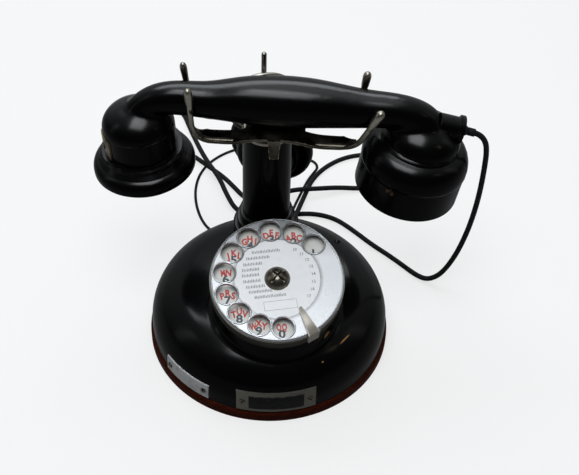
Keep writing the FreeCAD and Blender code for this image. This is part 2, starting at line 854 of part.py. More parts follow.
for angle in (45, 135):
    slot = Part.makeBox(V.centre_screw_diameter * 0.8, V.centre_screw_slot, V.centre_screw_height)
    slot_start = at(-V.centre_screw_diameter * 0.4, -V.centre_screw_slot / 2)
    slot.Placement = dial_frame * at(0, 0, slot_floor, Z_AXIS, angle) * slot_start
    slots.append(slot)
keep("centre_screw", cut("slotted_screw", screw, feature("screw_slots", slots[0].fuse(slots[1]))))
gear_top = case_floor - 1.5 - D.end_play - 1
gear_bottom = gear_top - D.gear_thickness
back_plate_top = case_floor - D.dial_space
keep("dial_spindle", turned("spindle", [
    (D.centre_screw_shank / 2 + D.seat_fit, shank_end - D.end_play),
    (0, shank_end - D.end_play),
    (0, back_plate_top - D.back_plate_thickness),
    (D.spindle_diameter / 2, back_plate_top - D.back_plate_thickness),
    (D.spindle_diameter / 2, -D.wheel_thickness - 2),
    (D.spindle_flange / 2, -D.wheel_thickness - 2),
    (D.spindle_flange / 2, -D.wheel_thickness),
    (D.centre_screw_shank / 2 + D.seat_fit, -D.wheel_thickness),
], dial_frame))


def spur(teeth, bore, thickness, turn):
    """A spur gear with straight-flanked teeth, standing on Z, turned by part of a tooth."""
    pitch = V.gear_module * teeth / 2
    levels = ((pitch - 1.1 * V.gear_module, 0.62), (pitch + 0.9 * V.gear_module, 0.22))
    step = 2 * math.pi / teeth
    corners = []
    for tooth in range(teeth):
        middle = step * (tooth + turn)
        for (radius, share) in levels:
            corners.append((radius, middle - step * share / 2))
        for (radius, share) in reversed(levels):
            corners.append((radius, middle + step * share / 2))
    points = [Vector(radius * math.cos(angle), radius * math.sin(angle), 0) for radius, angle in corners]
    blank = Part.Face(Part.makePolygon(points + points[:1])).extrude(Vector(0, 0, thickness))
    return blank.cut(Part.makeCylinder(bore, thickness)) if bore else blank


gear_shape = spur(V.gear_teeth, V.spindle_diameter / 2 + V.seat_fit, V.gear_thickness, 0)
gear_place = dial_frame * at(0, 0, gear_bottom.value)
keep("dial_gear", feature("gear", gear_shape, gear_place))

# Governor: pinion on its arbor with the weights, between case floor and back plate
governor_reach = V.gear_module * (V.gear_teeth + V.pinion_teeth) / 2 + V.mesh_backlash
governor_frame = dial_frame * at(0, governor_reach, 0)
pinion_shape = spur(V.pinion_teeth, 0, V.gear_thickness, 0.5)
arbor_length = V.dial_space - 2 * V.end_play
arbor = Part.makeCylinder(V.arbor_diameter / 2, arbor_length)
arbor.translate(Vector(0, 0, back_plate_top.value + V.end_play - gear_bottom.value))
pinion_frame = governor_frame * at(0, 0, gear_bottom.value)
keep("governor_pinion", feature("pinion", pinion_shape.fuse(arbor), pinion_frame))
weights_bottom = back_plate_top + D.end_play * 2
keep("governor_weights", turned("weights", [
    (D.arbor_diameter / 2 + D.seat_fit, weights_bottom),
    (D.weights_diameter / 2, weights_bottom),
    (D.weights_diameter / 2, weights_bottom + D.weights_thickness),
    (D.arbor_diameter / 2 + D.seat_fit, weights_bottom + D.weights_thickness),
], governor_frame))

# Back plate of the dial with three pillars, and the spiral return spring on it
back_plate_bottom = back_plate_top - D.back_plate_thickness
back_plate = turned("back_disc", [
    (D.spindle_diameter / 2 + D.running_fit, back_plate_bottom),
    (D.back_plate_diameter / 2, back_plate_bottom),
    (D.back_plate_diameter / 2, back_plate_top),
    (D.spindle_diameter / 2 + D.running_fit, back_plate_top),
], dial_frame)
pillar_start = 30
pillars = []
for index, place in enumerate(around(3, V.pillar_circle / 2, pillar_start)):
    spot = dial_frame * place * at(0, 0, back_plate_top.value)
    pillars.append(cylinder(f"pillar_{index}", D.pillar_diameter, D.dial_space, spot))
keep("dial_back_plate", fuse("back_plate", [back_plate] + pillars))


def spiral(inside, pitch, turns, strip, height):
    """A flat spiral strip, wound outward from its inside diameter."""
    steps = 8 * turns
    edges = []
    for offset in (0, strip):
        points = []
        for step in range(steps + 1):
            angle = 2 * math.pi * turns * step / steps
            radius = inside / 2 + offset + pitch * angle / (2 * math.pi)
            points.append(Vector(radius * math.cos(angle), radius * math.sin(angle), 0))
        curve = Part.BSplineCurve()
        curve.interpolate(points)
        edges.append(curve)
    first, second = [edge.toShape() for edge in edges]
    ends = [
        Part.LineSegment(edges[0].EndPoint, edges[1].EndPoint).toShape(),
        Part.LineSegment(edges[0].StartPoint, edges[1].StartPoint).toShape(),
    ]
    return Part.Face(Part.Wire(Part.__sortEdges__([first, second] + ends))).extrude(Vector(0, 0, height))


spring_shape = spiral(
    V.dial_spring_inside, V.dial_spring_pitch, V.dial_spring_turns, V.dial_spring_strip,
    V.dial_spring_height)
keep("dial_spring", feature("return_spring", spring_shape, dial_frame * at(0, 0, back_plate_top.value)))

# Bare plates on the skirt, curved to the shell, and the small screws
def skirt_band(depth, thickness, length, low, height, angle):
    """A plate bent to the shell, a set depth off its face."""
    band = dome_solid(-depth - thickness).cut(dome_solid(-depth))
    window = Part.makeBox(skirt_radius, length, height)
    window.Placement = at(0, 0, 0, Z_AXIS, angle) * at(V.base_diameter / 4, -length / 2, low)
    return band.common(window)


keep("front_plate", feature("front", skirt_band(
    0, V.plate_thickness, V.front_plate_length, V.plate_bottom, V.front_plate_height, V.front_plate_angle)))
panel_low = V.plate_bottom + (V.front_plate_height - V.front_panel_height) / 2
keep("front_panel", feature("panel", skirt_band(
    V.plate_thickness, V.panel_thickness, V.front_panel_length, panel_low, V.front_panel_height,
    V.front_plate_angle)))
keep("side_plate", feature("side", skirt_band(
    0, V.plate_thickness, V.side_plate_length, V.plate_bottom, V.side_plate_height, V.side_plate_angle)))


def shell_spot(radius, height, angle):
    """A place on the skirt or shoulder, with Z out of the surface."""
    rise = max(height - V.skirt_top, 0)
    lean = math.degrees(math.asin(rise / V.shoulder_radius))
    return at(0, 0, 0, Z_AXIS, angle) * at(radius, 0, height, Y_AXIS, 90 - lean)


def shoulder_radius_at(height):
    """Radius of the shell at a height on its skirt or shoulder."""
    rise = max(height - V.skirt_top, 0)
    return skirt_radius - V.shoulder_radius + math.sqrt(V.shoulder_radius ** 2 - rise ** 2)


plate_screws = []
for name, length, height, angle in (
        ("front", V.front_plate_length, V.front_plate_height, V.front_plate_angle),
        ("side", V.side_plate_length, V.side_plate_height, V.side_plate_angle)):
    middle = V.plate_bottom + height / 2
    radius = shoulder_radius_at(middle)
    spread = math.degrees(math.asin((length / 2 - V.plate_screw_diameter) / radius))
    for side in (-1, 1):
        spot = shell_spot(radius, middle, angle + side * spread) * at(0, 0, V.plate_thickness + V.seat_fit)
        plate_screws.append(cylinder(
            f"{name}_plate_screw_{side + 1}", D.plate_screw_diameter, D.plate_screw_height, spot))
keep("plate_screws", group("plate_screw_set", plate_screws))
dome_screw_z = V.skirt_top + math.sqrt(
    V.shoulder_radius ** 2 - (V.dome_screw_circle / 2 - skirt_radius + V.shoulder_radius) ** 2)
dome_screw_spot = shell_spot(V.dome_screw_circle / 2, dome_screw_z, V.dome_screw_angle)
dome_screw_spot = dome_screw_spot * at(0, 0, V.seat_fit)
dome_screw_round = (D.dome_screw_diameter * D.dome_screw_diameter / 4
                    + D.dome_screw_height * D.dome_screw_height) / (D.dome_screw_height * 2)
keep("dome_screw", turned("screw_on_dome", [
    (0, 0),
    (D.dome_screw_diameter / 2, 0, dome_screw_round, 1),
    (0, D.dome_screw_height),
], dome_screw_spot))

# Cradle: fork of two wavy bars with four prongs, and the plunger under it
cradle_frame = at(0, V.column_y, 0, Z_AXIS, V.cradle_turn)
fork_middle = V.cradle_top - V.fork_thickness / 2
bar_low = fork_middle - V.bar_dip
half = V.fork_depth / 2
narrow = V.prong_diameter / 2
prongs = {
    (-1, -1): (V.prong_x, V.prong_lean, V.prong_rise),
    (1, -1): (V.prong_x, V.bent_prong_lean, V.bent_prong_rise),
    (-1, 1): (V.back_prong_x - V.back_prong_shift, V.back_prong_lean, V.back_prong_rise),
    (1, 1): (V.back_prong_x + V.back_prong_shift, V.back_prong_lean, V.back_prong_rise),
}


def wavy_bar(y_side):
    """One flat bar of the fork, dipping from the hub and turned up at both ends into the prongs."""
    points = []
    for x_side in (-1, 1):
        reach, lean, rise = prongs[x_side, y_side]
        arm = [
            Vector(x_side * V.hub_half_width, 0, fork_middle),
            Vector(x_side * V.bar_dip_x, 0, bar_low),
            Vector(x_side * reach, 0, bar_low),
            Vector(x_side * (reach + lean), 0, bar_low + rise),
        ]
        points += arm if x_side > 0 else arm[::-1]
    along = (points[1] - points[0]).normalize()
    up = Vector(-along.z, 0, along.x)
    section = Part.makePolygon([
        points[0] + Vector(0, side * half, 0) + up * (rise * V.fork_thickness / 2)
        for side, rise in ((-1, -1), (1, -1), (1, 1), (-1, 1), (-1, -1))])
    strip = rounded_path(points)[0].makePipeShell([section], True, False)
    plan = [Vector(-V.hub_half_width * 1.5, 0, 0)]
    for x_side in (-1, 1):
        reach = prongs[x_side, y_side][0]
        arm = [
            Vector(x_side * V.hub_half_width, y_side * half, 0),
            Vector(x_side * reach, y_side * (V.prong_y + narrow), 0),
            Vector(x_side * reach, y_side * (V.prong_y - narrow), 0),
            Vector(x_side * (reach - V.bar_taper), y_side * (V.prong_y + narrow - V.bar_end_width), 0),
            Vector(x_side * V.hub_half_width * 1.5, y_side * (half - V.bar_width), 0),
        ]
        plan += arm if x_side > 0 else arm[::-1]
    plan.append(Vector(V.hub_half_width * 1.5, 0, 0))
    window = Part.Face(Part.makePolygon(plan + plan[:1])).extrude(Vector(0, 0, V.cradle_top * 2))
    return strip.common(window)


fork = wavy_bar(-1).fuse(wavy_bar(1))
for (x_side, y_side), (reach, lean, rise) in prongs.items():
    y = y_side * V.prong_y
    points = [
        Vector(x_side * (reach - 2 * V.prong_bend), y, bar_low),
        Vector(x_side * reach, y, bar_low),
        Vector(x_side * (reach + lean), y, bar_low + rise),
    ]
    fork = fork.fuse(rod_along(points, V.prong_diameter, bend=V.prong_bend)[0])
    fork = fork.fuse(Part.makeSphere(V.prong_diameter / 2, points[-1]))
tongue_corners = [
    Vector(side * width / 2, -half, V.cradle_top - drop)
    for side, width, drop in (
        (-1, V.tongue_width, 0), (1, V.tongue_width, 0),
        (1, V.tongue_tip_width, V.tongue_drop), (-1, V.tongue_tip_width, V.tongue_drop))]
tongue_face = Part.Face(Part.makePolygon(tongue_corners + tongue_corners[:1]))
tongue = tongue_face.extrude(Vector(0, -V.tongue_thickness, 0))
fork = fork.fuse(tongue).removeSplitter()
fork_place = cradle_frame * at(V.cradle_shift)
keep("cradle_fork", feature("fork", fork, fork_place))
fork_bottom = D.cradle_top - D.fork_thickness
plunger = turned("plunger", [
    (0, D.plunger_bottom),
    (D.plunger_tail_diameter / 2, D.plunger_bottom),
    (D.plunger_tail_diameter / 2, fork_bottom - D.plunger_guide),
    (D.spring_seat_diameter / 2, fork_bottom - D.plunger_guide),
    (D.spring_seat_diameter / 2, fork_bottom - D.plunger_guide + D.spring_seat_thickness),
    (D.plunger_diameter / 2, fork_bottom - D.plunger_guide + D.spring_seat_thickness),
    (D.plunger_diameter / 2, fork_bottom - 1.2),
    (D.plunger_collar / 2, fork_bottom - 1.2),
    (D.plunger_collar / 2, fork_bottom),
    (0, fork_bottom),
], column_frame)
keep("plunger_rod", cut("plunger_under_fork", plunger, nodes["cradle_fork"]))
keep("plunger_tip", turned("tip", [
    (0, D.plunger_bottom - D.plunger_tip_height),
    (D.plunger_tip_diameter / 2, D.plunger_bottom - D.plunger_tip_height),
    (D.plunger_tip_diameter / 2, D.plunger_bottom),
    (0, D.plunger_bottom),
], column_frame))
spring_top = fork_bottom.value - V.plunger_guide - V.plunger_spring_wire / 2 - V.end_play
spring_height = spring_top - V.plunger_spring_bottom
spring_reach = (V.plunger_spring_diameter - V.plunger_spring_wire) / 2
helix = Part.makeHelix(spring_height / V.plunger_spring_turns, spring_height, spring_reach)
coil_start = Vector(spring_reach, 0, 0)
coil_section = Part.Wire([Part.makeCircle(V.plunger_spring_wire / 2, coil_start, Y_AXIS)])
coil = Part.Wire(helix.Edges).makePipeShell([coil_section], True, True)
keep("plunger_spring", feature("spring", coil, column_frame * at(0, 0, V.plunger_spring_bottom)))

# Handset: one moulding from the receiver head through the swelled handle to the transmitter head
handset_z = V.cradle_top + V.rest_gap + V.handle_mid_diameter / 2
handset_frame = cradle_frame * at(V.handset_shift, 0, handset_z)
receiver_local = at(V.receiver_x, 0, -V.receiver_drop, Y_AXIS, V.receiver_tilt)
transmitter_local = at(V.transmitter_x, 0, -V.transmitter_drop, Y_AXIS, V.transmitter_tilt)
receiver_frame = handset_frame * receiver_local
transmitter_frame = handset_frame * transmitter_local


def across(x, z, angle):
    """A place whose Z axis points along the handle, raised by an angle."""
    return at(x, 0, z, Y_AXIS, 90 - angle)


def head_dome(diameter, height, seam):
    """The rounded top of a handset head, half an ellipsoid standing on Z, with its seam at an angle."""
    reach = diameter / 2
    curve = Part.Ellipse(Vector(), reach, height) if reach > height else Part.Ellipse(
        Vector(0, height, 0), Vector(reach, 0, 0), Vector())
    quarter = Part.ArcOfEllipse(curve, 0, math.pi / 2).toShape()
    sides = Part.makePolygon([Vector(0, height, 0), Vector(), Vector(reach, 0, 0)]).Edges
    dome = Part.Face(Part.Wire(Part.__sortEdges__([quarter] + sides))).revolve(Vector(), Y_AXIS, 360)
    dome.rotate(Vector(), X_AXIS, 90)
    dome.rotate(Vector(), Z_AXIS, seam)
    return dome


handle_sections = [
    circle_wire(V.handle_left_diameter * 0.5, across(V.receiver_x + 1, -17, 72)),
    circle_wire(V.handle_left_diameter * 0.48, across(V.receiver_x + 6.2, -8.5, 44)),
    circle_wire(V.handle_left_diameter / 2, across(V.receiver_x + 15, -2.8, 6)),
    circle_wire(V.handle_left_diameter * 0.56, across(V.receiver_x + 43, -1.6, 1)),
    circle_wire(V.handle_mid_diameter * 0.45, across(V.receiver_x + 68, -0.4, 1)),
    circle_wire(V.handle_mid_diameter / 2, across(-2, 0, 0)),
    circle_wire(V.handle_mid_diameter * 0.465, across(V.transmitter_x - 64, -0.4, -1)),
    circle_wire(V.handle_right_diameter * 0.515, across(V.transmitter_x - 34, -2.3, -2)),
    circle_wire(V.handle_right_diameter * 0.476, across(V.transmitter_x - 11, -3.8, -7)),
    circle_wire(V.handle_right_diameter / 2, across(V.transmitter_x + 2.5, -11, -45)),
    circle_wire(V.handle_right_diameter * 0.51, across(V.transmitter_x + 5, -17.5, -70)),
]
handle_bar = Part.makeLoft(handle_sections, True, False)
ear_dome = head_dome(V.receiver_case_diameter, V.receiver_dome, 0)
ear_dome.Placement = receiver_local.multiply(ear_dome.Placement)
mouth_dome = head_dome(V.head_diameter, V.head_dome, 180)
mouth_dome_frame = transmitter_local * at(V.bell_offset, 0, V.bell_height)
mouth_dome.Placement = mouth_dome_frame.multiply(mouth_dome.Placement)
moulding = handle_bar.fuse(ear_dome).fuse(mouth_dome).removeSplitter()
keep("handle", feature("moulding", moulding, handset_frame))
case_outside = D.receiver_case_diameter / 2
keep("receiver_case", turned("ear_case", [
    (0, -D.receiver_wall),
    (0, 0),
    (case_outside, 0),
    (case_outside, -D.receiver_case_height),
    (case_outside - D.receiver_wall, -D.receiver_case_height),
    (case_outside - D.receiver_wall, -D.receiver_wall),
], receiver_frame))


def ear_cap(label, top, neck, diameter, height, inside, place):
    """A flared ear cap with a bead, a round flange, a dished face and an ear hole, facing -Z."""
    flange = height * 0.42
    recess = D.diaphragm_thickness + D.diaphragm_play
    return turned(label, [
        (D.ear_hole / 2, top - height * 0.72),
        (inside, top - recess - 1),
        (D.diaphragm_diameter / 2 + D.end_play - 1.5, top - recess),
        (D.diaphragm_diameter / 2 + D.end_play, top - recess),
        (D.diaphragm_diameter / 2 + D.end_play, top),
        (neck - 1, top),
        (neck, top - 1),
        (neck, top - 3),
        (neck - 0.8, top - 3.8),
        (diameter / 2 - flange * 0.55, top - height * 0.36, flange, -1),
        (diameter / 2, top - height * 0.72),
        (diameter / 2, top - height * 0.86),
        (diameter / 2 - height * 0.14, top - height),
        (diameter / 2 - height * 0.42, top - height),
        (D.ear_hole / 2, top - height * 0.86),
    ], place)


cap_top = -D.receiver_case_height
keep("receiver_cap", ear_cap(
    "ear_piece", cap_top, D.receiver_cap_neck / 2, D.receiver_cap_diameter, D.receiver_cap_height,
    D.diaphragm_diameter / 2 - 3, receiver_frame))


def diaphragm(label, top, place):
    """A thin iron disc on the seat of an ear cap."""
    low = top - D.diaphragm_thickness - D.diaphragm_play
    return turned(label, [
        (0, low),
        (D.diaphragm_diameter / 2, low),
        (D.diaphragm_diameter / 2, low + D.diaphragm_thickness),
        (0, low + D.diaphragm_thickness),
    ], place)


def magnet(label, top, height, pole, place):
    """A round magnet with two pole pieces facing the diaphragm."""
    ring = cylinder(f"{label}_ring", D.magnet_diameter, height, place * at(0, 0, top - height.value))
    poles = []
    for side in (-1, 1):
        left = side * V.pole_spread - V.pole_thickness / 2
        spot = place * at(left, -V.pole_width / 2, top - height.value - pole.value)
        poles.append(block(f"{label}_pole_{side + 1}", D.pole_thickness, D.pole_width, pole, spot))
    return fuse(label, [ring] + poles)


keep("receiver_diaphragm", diaphragm("ear_disc", cap_top, receiver_frame))
keep("receiver_magnet", magnet(
    "ear_magnet", -V.receiver_wall, D.magnet_height, D.magnet_pole, receiver_frame))
plate_ring = Part.makeCylinder(V.receiver_case_diameter / 2 + V.plate_thickness, V.receiver_plate_height)
plate_ring = plate_ring.cut(Part.makeCylinder(V.receiver_case_diameter / 2, V.receiver_plate_height))
plate_window = Part.makeBox(V.receiver_case_diameter, V.receiver_plate_width, V.receiver_plate_height)
plate_window.Placement = at(0, 0, 0, Z_AXIS, V.receiver_plate_angle) * at(0, -V.receiver_plate_width / 2)
receiver_plate_drop = V.receiver_case_height - V.receiver_plate_height - 1
keep("receiver_plate", feature("ear_plate", plate_ring.common(plate_window), receiver_frame * at(
    0, 0, -V.receiver_plate_height - receiver_plate_drop)))
ear_screw_reach = V.receiver_case_diameter / 2 + V.plate_thickness + V.seat_fit
ear_screw_turn = at(0, 0, -V.receiver_case_height * 0.55, Z_AXIS, V.receiver_plate_angle)
ear_screw_spot = receiver_frame * ear_screw_turn * at(ear_screw_reach, 0, 0, Y_AXIS, 90)
keep("receiver_plate_screw", cylinder(
    "ear_plate_screw", D.plate_screw_diameter, D.plate_screw_height, ear_screw_spot))

# Transmitter: skewed bell under the head, cap with the mouth holes, and the capsule
bell_low = V.transmitter_cap_diameter / 2
bell_high = V.bell_ring_diameter / 2
ring_low = V.bell_height - V.bell_ring_height
bell_steps = [(0, 0, 0), (0.22, 0.03, 0.08), (0.55, 0.3, 0.4), (0.8, 0.66, 0.75), (1, 1, 1)]
bell_sections = []
for climb, narrowing, drift in bell_steps:
    radius = bell_low + (bell_high - 0.8 - bell_low) * narrowing
    bell_sections.append(circle_wire(radius, at(V.bell_offset * drift, 0, ring_low * climb)))
bell = Part.makeLoft(bell_sections, True, False)
bell_ring = Part.makeCylinder(bell_high, V.bell_ring_height, Vector(V.bell_offset, 0, ring_low))
keep("transmitter_bell", feature("bell", bell.fuse(bell_ring), transmitter_frame))
mouth_radius = D.transmitter_cap_diameter / 2
mouth_face = -D.transmitter_cap_height
mouth = turned("mouth_cap", [
    (0, mouth_face),
    (mouth_radius - 2, mouth_face, 2, 1),
    (mouth_radius, mouth_face + 2),
    (mouth_radius, 0),
    (mouth_radius - D.transmitter_wall, 0),
    (mouth_radius - D.transmitter_wall, mouth_face + D.transmitter_wall),
    (0, mouth_face + D.transmitter_wall),
], transmitter_frame)
mouth_holes = []
for place in [at()] + around(6, V.mouth_hole_circle / 2):
    hole = Part.makeCylinder(V.mouth_hole / 2, 3 * V.transmitter_wall)
    hole.Placement = transmitter_frame * place * at(0, 0, mouth_face.value - V.transmitter_wall)
    mouth_holes.append(hole)
keep("transmitter_cap", cut("mouth_grille", mouth, feature("mouth_bores", Part.makeCompound(mouth_holes))))
capsule_low = mouth_face + D.transmitter_wall
keep("transmitter_capsule", turned("capsule", [
    (0, capsule_low + 2),
    (D.capsule_diameter / 2 - 3, capsule_low + 2),
    (D.capsule_diameter / 2 - 3, capsule_low),
    (D.capsule_diameter / 2, capsule_low),
    (D.capsule_diameter / 2, capsule_low + D.capsule_height),
    (0, capsule_low + D.capsule_height),
], transmitter_frame))
cap_screws = []
for index in range(3):
    turn = V.transmitter_screw_angle + 120 * index
    spot = transmitter_frame * at(0, 0, -V.transmitter_screw_drop, Z_AXIS, turn)
    spot = spot * at(V.transmitter_cap_diameter / 2 + V.seat_fit, 0, 0, Y_AXIS, 90)
    cap_screws.append(cylinder(
        f"cap_screw_{index}", D.transmitter_screw_diameter, D.plate_screw_height, spot))
keep("transmitter_screws", group("cap_screw_set", cap_screws))

# Cord boss at the end of the handset and the grip that holds the cord
boss_frame = handset_frame * across(V.cord_boss_x, -V.cord_boss_drop, -V.cord_boss_slope)
rim_start = D.cord_boss_length - D.cord_boss_rim_length
boss_bar = turned("cord_boss_bar", [
    (0, 0),
    (D.cord_boss_diameter / 2, 0),
    (D.cord_boss_diameter / 2, rim_start - 1),
    (D.cord_boss_rim / 2, rim_start),
    (D.cord_boss_rim / 2, D.cord_boss_length),
    (0, D.cord_boss_length),
], boss_frame)
keep("cord_boss", cut("cord_socket", boss_bar, nodes["handle"]))
grip_end = D.cord_boss_length + D.cord_grip_length
keep("cord_grip", turned("grip", [
    (0, D.cord_boss_length),
    (D.cord_grip_diameter / 2, D.cord_boss_length),
    (D.cord_grip_diameter / 2, D.cord_boss_length + 2),
    (D.handset_cord_diameter / 2 + 0.5, grip_end),
    (0, grip_end),
], boss_frame))

# Second earpiece: case with a lug, ear cap, and the ring that hangs on the hook
ring_y = V.hook_crook_y - V.hook_rod - V.ring_wire / 2
hook_slope = math.atan2(V.hook_crest - V.hook_crook, V.hook_crook_y - V.hook_rise_y)
rod_z = V.hook_crook + (V.hook_crook_y - ring_y) * math.tan(hook_slope)
rod_top = rod_z + V.hook_rod / 2 / math.cos(hook_slope) + V.ring_wire / 2 * math.tan(hook_slope)
ring_middle_z = rod_top + V.ring_clearance + V.ring_wire - V.ring_diameter / 2
lug_reach = V.ring_wire / 2 + V.ring_clearance + V.lug_wall
lug_z = ring_middle_z - V.ring_diameter / 2 + V.ring_wire / 2
earpiece_z = lug_z - lug_reach - V.earpiece_case_diameter / 2
hang = at(0, ring_y, 0, Z_AXIS, V.ring_turn)
earpiece_frame = at(0, ring_y, 0, Z_AXIS, V.earpiece_turn) * at(0, V.ring_back_set, earpiece_z, X_AXIS, 90)
ear_radius = D.earpiece_case_diameter / 2
case_back = D.earpiece_case_depth
ear_shell = turned("ear_shell", [
    (0, case_back),
    (ear_radius - D.earpiece_round, case_back, D.earpiece_round, -1),
    (ear_radius, case_back - D.earpiece_round),
    (ear_radius, 0),
    (ear_radius - D.earpiece_wall, 0),
    (ear_radius - D.earpiece_wall, case_back - D.earpiece_round),
    (ear_radius - D.earpiece_round, case_back - D.earpiece_wall),
    (0, case_back - D.earpiece_wall),
], earpiece_frame)
lug_height = lug_reach * 2 + V.earpiece_wall
lug = Part.makeBox(V.lug_width, 2 * lug_reach, lug_height)
lug.Placement = hang * at(-V.lug_width / 2, -lug_reach, lug_z + lug_reach - lug_height)
lug_hole = Part.makeCylinder(V.ring_wire / 2 + V.ring_clearance, 2 * V.lug_width)
lug_hole.Placement = hang * at(-V.lug_width, 0, lug_z, Y_AXIS, 90)
hollow_depth = V.earpiece_case_depth - V.earpiece_round
ear_shell_hollow = Part.makeCylinder(ear_radius.value - V.earpiece_wall, hollow_depth)
ear_shell_hollow.Placement = earpiece_frame
lug_eye = lug.cut(lug_hole).cut(ear_shell_hollow)
keep("earpiece_case", fuse("ear_shell_with_lug", [ear_shell, feature("ear_lug", lug_eye)]))
case_rim = Dim(0, "0")
keep("earpiece_cap", ear_cap(
    "second_ear_piece", case_rim, ear_radius + D.earpiece_lip, D.earpiece_cap_diameter,
    D.earpiece_cap_depth, D.diaphragm_diameter / 2 - 3, earpiece_frame))
keep("earpiece_diaphragm", diaphragm("second_ear_disc", case_rim, earpiece_frame))
keep("earpiece_magnet", magnet(
    "second_ear_magnet", V.earpiece_case_depth - V.earpiece_wall, D.earpiece_magnet_height,
    D.earpiece_magnet_pole, earpiece_frame))
ring = doc.addObject("Part::Torus", "hanging_ring")
bind(ring, "Radius1", D.ring_diameter / 2 - D.ring_wire / 2)
bind(ring, "Radius2", D.ring_wire / 2)
ring.Placement = hang * at(0, 0, ring_middle_z, X_AXIS, 90)
keep("earpiece_ring", ring)
grip_frame = earpiece_frame * at(0, -ear_radius.value, V.earpiece_case_depth * 0.45, X_AXIS, 90)
keep("earpiece_grip", turned("ear_grip", [
    (0, D.end_play),
    (D.earpiece_grip_diameter / 2, D.end_play),
    (D.earpiece_grip_diameter / 2, 2),
    (D.earpiece_cord_diameter / 2 + D.grip_tip_wall, D.earpiece_grip_length),
    (0, D.earpiece_grip_length),
], grip_frame))

# Inside the base: coil, condenser, terminals and the hook switch
floor = V.wood_thickness
coil_radius = D.coil_diameter / 2
coil_frame = at(V.coil_x, -V.coil_length / 2, floor + V.coil_diameter / 2 + V.seat_fit, X_AXIS, -90)
keep("induction_coil", turned("bobbin", [
    (D.core_diameter / 2 + D.seat_fit, 0),
    (coil_radius, 0),
    (coil_radius, D.coil_flange),
    (coil_radius - 2, D.coil_flange),
    (coil_radius - 2, D.coil_length - D.coil_flange),
    (coil_radius, D.coil_length - D.coil_flange),
    (coil_radius, D.coil_length),
    (D.core_diameter / 2 + D.seat_fit, D.coil_length),
], coil_frame))
keep("coil_core", cylinder(
    "iron_core", D.core_diameter, D.coil_length + D.core_overhang * 2,
    coil_frame * at(0, 0, -V.core_overhang)))
keep("condenser", block(
    "condenser_can", D.condenser_width, D.condenser_length, D.condenser_height,
    at(V.condenser_x - V.condenser_width / 2, -V.condenser_length / 2, floor)))
terminal_y = skirt_radius - V.terminal_setback
keep("terminal_block", block(
    "terminal_strip", D.terminal_length, D.terminal_width, D.terminal_height,
    at(-V.terminal_length / 2, terminal_y - V.terminal_width / 2, floor)))
terminals = []
terminal_step = V.terminal_length / V.terminal_count
for index in range(V.terminal_count):
    left = terminal_step * (index + 0.5) - V.terminal_length / 2
    spot = at(left, terminal_y, floor + V.terminal_height)
    terminals.append(cylinder(
        f"terminal_{index}", D.terminal_screw_diameter, D.terminal_screw_height, spot))
keep("terminal_screws", group("terminal_screw_set", terminals))
switch_top = D.plunger_bottom - D.plunger_tip_height - D.end_play
keep("switch_bracket", block(
    "switch_post", D.bracket_width, D.bracket_depth, switch_top - D.wood_thickness,
    at(-V.bracket_width / 2, V.bracket_y - V.bracket_depth / 2, floor)))
blades = []
for index in range(3):
    spot = at(-V.blade_width / 2, V.bracket_y + V.bracket_depth / 2,
              switch_top.value - V.blade_thickness - V.blade_spacing * index)
    blades.append(block(f"blade_{index}", D.blade_width, D.blade_length, D.blade_thickness, spot))
keep("contact_springs", group("blade_set", blades))

# Glands in the skirt behind, and the two cords
glands = []
for name, frame in gland_frames.items():
    glands.append(turned(f"{name}_gland", [
        (0, -V.shell_wall * 2),
        (D.gland_neck / 2, -V.shell_wall * 2),
        (D.gland_neck / 2, D.end_play),
        (D.gland_flange / 2, D.end_play),
        (D.gland_flange / 2, D.gland_flange_length - 1),
        (D.gland_flange / 2 - 1, D.gland_flange_length),
        (0, D.gland_flange_length),
    ], frame))
keep("cord_glands", group("gland_set", glands))


def end_of(frame, height):
    """The middle of a piece's end face."""
    return frame.multVec(Vector(0, 0, height))


def cord(label, points, diameter):
    """A cord as a plain tube along its route."""
    tube, radii, length = rod_along(points, diameter)
    print(label, "length", round(length), "radii", [round(radius, 1) for radius in radii])
    return keep(label, feature(f"{label}_tube", tube))


# The handset cord runs from its gland over the table in two loose loops, then up to the handset.
cord_split = Vector(107.5, 47, 2)
handset_gland = gland_frames["handset"]
handset_route = [
    end_of(handset_gland, V.gland_flange_length),
    end_of(handset_gland, V.gland_flange_length + 7),
] + [Vector(*point) for point in (
    (26, 98.5, 10), (29.5, 107.5, 7.4), (33, 118.5, 4.5), (37.5, 131, 2.2), (43, 145, 2),
    (51, 157, 2), (62, 167, 2), (76, 174.5, 2), (92, 177, 2), (108, 172, 2), (117, 160, 2),
    (114, 146, 2), (101, 138, 2), (83, 136, 2.2), (64, 136.5, 4), (47, 133, 6.8), (29, 133, 6.8),
    (13, 130, 4), (-1, 126.5, 2), (-11, 131, 2), (-18, 142, 3), (-26.5, 153, 5), (-39, 167, 5),
    (-51, 183, 3), (-69, 198, 2), (-92, 207, 2), (-107, 222, 2), (-106, 242, 2), (-91, 255, 2),
    (-71, 252, 2), (-57, 238, 2), (-53, 221, 3), (-48, 198, 6.5), (-40, 169, 9.8),
    (-30, 147.5, 9.8), (-25, 132, 6), (-18, 116, 2.4), (-4, 108, 2), (16, 108, 2), (38, 111, 2),
    (57, 105, 2), (70, 91.5, 2), (84, 73.5, 2), (97, 60, 2),
)] + [cord_split]
cord("handset_cord", handset_route, V.handset_cord_diameter)
grip_tip = V.cord_boss_length + V.cord_grip_length
drop_route = [cord_split] + [Vector(*point) for point in (
    (112.75, 40.5, 2), (120, 34.8, 2.8), (127, 32.8, 8.2), (131.8, 32, 16.3), (136.3, 31.4, 28),
    (140.2, 30.3, 44), (143.3, 29.2, 64), (145, 28, 85), (145.4, 26.9, 105), (144.9, 25.8, 124.5),
    (144.1, 25, 137), (142.3, 24.4, 145.7), (139, 24.1, 151.4),
)] + [end_of(boss_frame, grip_tip + 5.6), end_of(boss_frame, grip_tip)]
cord("handset_cord_drop", drop_route, V.handset_cord_diameter)

